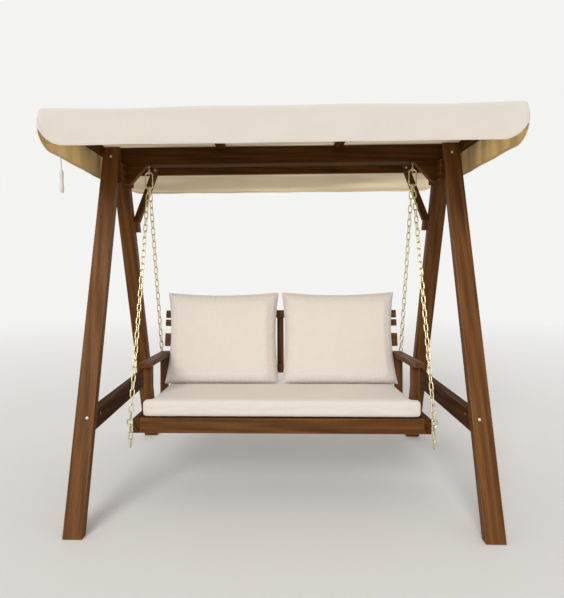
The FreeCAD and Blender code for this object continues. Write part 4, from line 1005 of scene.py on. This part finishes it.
BOARDS = [
    # name, grain, wide way, stain factor (the board's own colour, lowered as painted shade for boards in
    # shade such as the beam and roof rails), nodes
    ("front_legs", leaning(LEG_LEAN), X_WAY, 1.12, pair("front_leg")),
    ("rear_legs", leaning(-LEG_LEAN), X_WAY, 1.0, pair("rear_leg")),
    # painted shade: the beam, in the roof's shade, is coloured much darker
    ("beam", X_WAY, Z_WAY, 0.5, ["top_beam"]),
    ("lower_rails", Y_WAY, Z_WAY, 0.6, pair("lower_rail")),
    ("collars", Y_WAY, Z_WAY, 0.7, pair("collar_board")),
    ("gussets", X_WAY, Z_WAY, 0.7, pair("corner_gusset")),
    ("roof_rails", X_WAY, leaning(ROOF_TILT), 0.65, ["canopy_front_rail", "canopy_rear_rail"]),
    ("roof_sides", sloping(ROOF_TILT), leaning(ROOF_TILT), 0.6,
     pair("canopy_side_rail") + pair("canopy_batten")),
    ("brace_left", Vector((0.07, 0.228, 0.347)), X_WAY, 0.95, ["knee_brace_left"]),
    ("brace_right", Vector((-0.07, 0.228, 0.347)), X_WAY, 0.95, ["knee_brace_right"]),
    ("brace_blocks", leaning(-LEG_LEAN), X_WAY, 0.9, pair("brace_block")),
    ("seat_front", X_WAY, leaning(SEAT_TILT), 0.95, ["seat_front_rail"]),
    ("seat_slats", X_WAY, sloping(SEAT_TILT), 1.0, ["seat_slats", "seat_rear_rail"]),
    ("seat_sides", sloping(SEAT_TILT), leaning(SEAT_TILT), 0.65, pair("seat_side_rail") + ["seat_bearers"]),
    ("arm_posts", leaning(SEAT_TILT), X_WAY, 0.9, ["arm_posts"]),
    ("armrests", sloping(SEAT_TILT), X_WAY, 0.75, pair("armrest")),
    ("back_stiles", leaning(BACK_LEAN), X_WAY, 0.9, ["back_stiles"]),
    ("back_boards", X_WAY, leaning(BACK_LEAN), 1.0, ["back_top_rail", "back_bottom_rail", "back_slats"]),
]
GILT = ["eye_bolts", "seat_eyes"]
for kind in ("snap_hook", "hook_gate", "chain_front", "chain_rear", "chain_tail"):
    GILT += pair(kind)
ZINC = ["frame_bolts", "frame_nuts", "barrel_nuts"]
BROWN = ["frame_screws", "canopy_screws", "seat_bolts", "slat_screws"]


def paint(nodes, material):
    """Give CAD nodes a finish."""
    for name in nodes:
        NODES[name].data.materials.clear()
        NODES[name].data.materials.append(material)


class SWING_OT_timber(bpy.types.Operator):
    """Stain every board, with its grain along it"""
    bl_idname = "swing.timber"
    bl_label = "Timber"

    def execute(self, context):
        for name, along, wide, tone_and_shade, nodes in BOARDS:
            paint(nodes, stained_wood(name, along, wide, tone_and_shade))
        return {"FINISHED"}


class SWING_OT_hardware(bpy.types.Operator):
    """Plate the chains, hooks, bolts and screws"""
    bl_idname = "swing.hardware"
    bl_label = "Hardware"

    def execute(self, context):
        look = context.scene.swing_finishes
        paint(GILT, plated_metal("gold_passivated_zinc", tuple(look.chain_colour), 0.30))
        paint(ZINC, plated_metal("pale_zinc", tuple(look.bolt_colour), 0.38))
        paint(BROWN, plated_metal("browned_steel", tuple(look.wood_middle), 0.55))
        return {"FINISHED"}


# studio

BACKGROUND = (0.90, 0.90, 0.89)
FILM = 36  # the camera's picture, in millimetres across


class SWING_OT_studio(bpy.types.Operator):
    """Set the floor, the soft lights and the camera"""
    bl_idname = "swing.studio"
    bl_label = "Studio"

    def execute(self, context):
        studio = context.scene.swing_studio
        scene = context.scene
        scene.view_settings.view_transform = "Standard"
        bpy.ops.object.select_all(action="DESELECT")
        under = (0, 0, -0.0005)
        bpy.ops.mesh.primitive_circle_add(vertices=64, radius=30, fill_type="NGON", location=under)
        floor = rename("studio_floor")
        made, tree, shader = new_material("pale_floor")
        feed(tree, shader, {"Base Color": (0.78, 0.78, 0.77, 1), "Roughness": 0.9, "Specular IOR Level": 0.1})
        spots = put(tree, "TexCoord").outputs["Object"]
        away = put(tree, "VectorMath", {0: spots}, operation="LENGTH").outputs["Value"]
        fade = spread(tree, away, 2.5, 9.0)
        seen = put(tree, "LightPath").outputs["Is Camera Ray"]
        plain = put(tree, "Emission", {0: (*BACKGROUND, 1), 1: 1.0})
        share = sums(tree, "MULTIPLY", fade, seen)
        mixed = put(tree, "MixShader", {0: share, 1: shader.outputs[0], 2: plain.outputs[0]})
        tree.links.new(mixed.outputs[0], tree.nodes["Material Output"].inputs[0])
        floor.data.materials.append(made)
        world = bpy.data.worlds.new("studio_air")
        world.use_nodes = True
        scene.world = world
        air = world.node_tree
        back = air.nodes["Background"]
        feed(air, back, {0: (1.0, 0.985, 0.96, 1), 1: studio.fill})
        plain = put(air, "Background", {0: (*BACKGROUND, 1), 1: 1.0})
        path = put(air, "LightPath")
        glossy = sums(air, "MAXIMUM", path.outputs["Is Camera Ray"], path.outputs["Is Glossy Ray"])
        seen = sums(air, "MAXIMUM", glossy, path.outputs["Is Transmission Ray"])
        mixed = put(air, "MixShader", {0: seen, 1: back.outputs[0], 2: plain.outputs[0]})
        air.links.new(mixed.outputs[0], air.nodes["World Output"].inputs[0])
        sun = bpy.data.lights.new("soft_key", "SUN")
        sun.energy = studio.key
        sun.angle = math.radians(28)
        sun.color = (1.0, 0.97, 0.93)
        key = bpy.data.objects.new("soft_key", sun)
        key.rotation_euler = Vector((-0.3, -1.0, 0.62)).to_track_quat("Z", "Y").to_euler()
        scene.collection.objects.link(key)
        lens = bpy.data.cameras.new("photo_camera")
        lens.sensor_fit = "HORIZONTAL"
        lens.sensor_width = FILM
        lens.lens = FILM * studio.focal_share
        lens.shift_x, lens.shift_y = studio.shift
        camera = bpy.data.objects.new("photo_camera", lens)
        pitch, yaw, roll = (math.radians(angle) for angle in (studio.pitch, studio.yaw, studio.roll))
        ahead = Vector((math.sin(yaw) * math.cos(pitch), math.cos(yaw) * math.cos(pitch), -math.sin(pitch)))
        right = Vector((math.cos(yaw), -math.sin(yaw), 0))
        up = right.cross(ahead)
        level = math.cos(roll) * right + math.sin(roll) * up
        upright = math.cos(roll) * up - math.sin(roll) * right
        turned = Matrix((level, upright, -ahead)).transposed().to_4x4()
        camera.matrix_world = Matrix.Translation(studio.place) @ turned
        scene.collection.objects.link(camera)
        scene.camera = camera
        return {"FINISHED"}


class SWING_PT_panel(bpy.types.Panel):
    """Pieces and settings of the swing"""
    bl_label = "Canopy Swing"
    bl_idname = "SWING_PT_panel"
    bl_space_type = "VIEW_3D"
    bl_region_type = "UI"
    bl_category = "Canopy Swing"

    def draw(self, context):
        layout = self.layout
        for operator in OPERATORS:
            layout.operator(operator.bl_idname)
        for name, group in GROUPS:
            box = layout.box()
            for field in group.__annotations__:
                box.prop(getattr(context.scene, name), field)


GROUPS = [
    ("swing_finishes", SwingFinishes),
    ("swing_canopy", SwingCanopy),
    ("swing_cushions", SwingCushions),
    ("swing_studio", SwingStudio),
]
OPERATORS = [
    SWING_OT_studio,
    SWING_OT_timber,
    SWING_OT_hardware,
    SWING_OT_canopy_cloth,
    SWING_OT_tie_cord,
    SWING_OT_seat_cushion,
    SWING_OT_back_cushions,
]


def register():
    """Register the settings, operators and panel."""
    for name, group in GROUPS:
        bpy.utils.register_class(group)
        setattr(bpy.types.Scene, name, bpy.props.PointerProperty(type=group))
    for operator in OPERATORS:
        bpy.utils.register_class(operator)
    bpy.utils.register_class(SWING_PT_panel)


def unregister():
    """Take them away again."""
    bpy.utils.unregister_class(SWING_PT_panel)
    for operator in reversed(OPERATORS):
        bpy.utils.unregister_class(operator)
    for name, group in reversed(GROUPS):
        delattr(bpy.types.Scene, name)
        bpy.utils.unregister_class(group)


def main():
    """Build the swing."""
    register()
    bpy.ops.swing.studio()
    bpy.ops.swing.timber()
    bpy.ops.swing.hardware()
    bpy.ops.swing.canopy_cloth()
    bpy.ops.swing.tie_cord()
    bpy.ops.swing.seat_cushion()
    bpy.ops.swing.back_cushions()


if __name__ == "__main__":
    main()
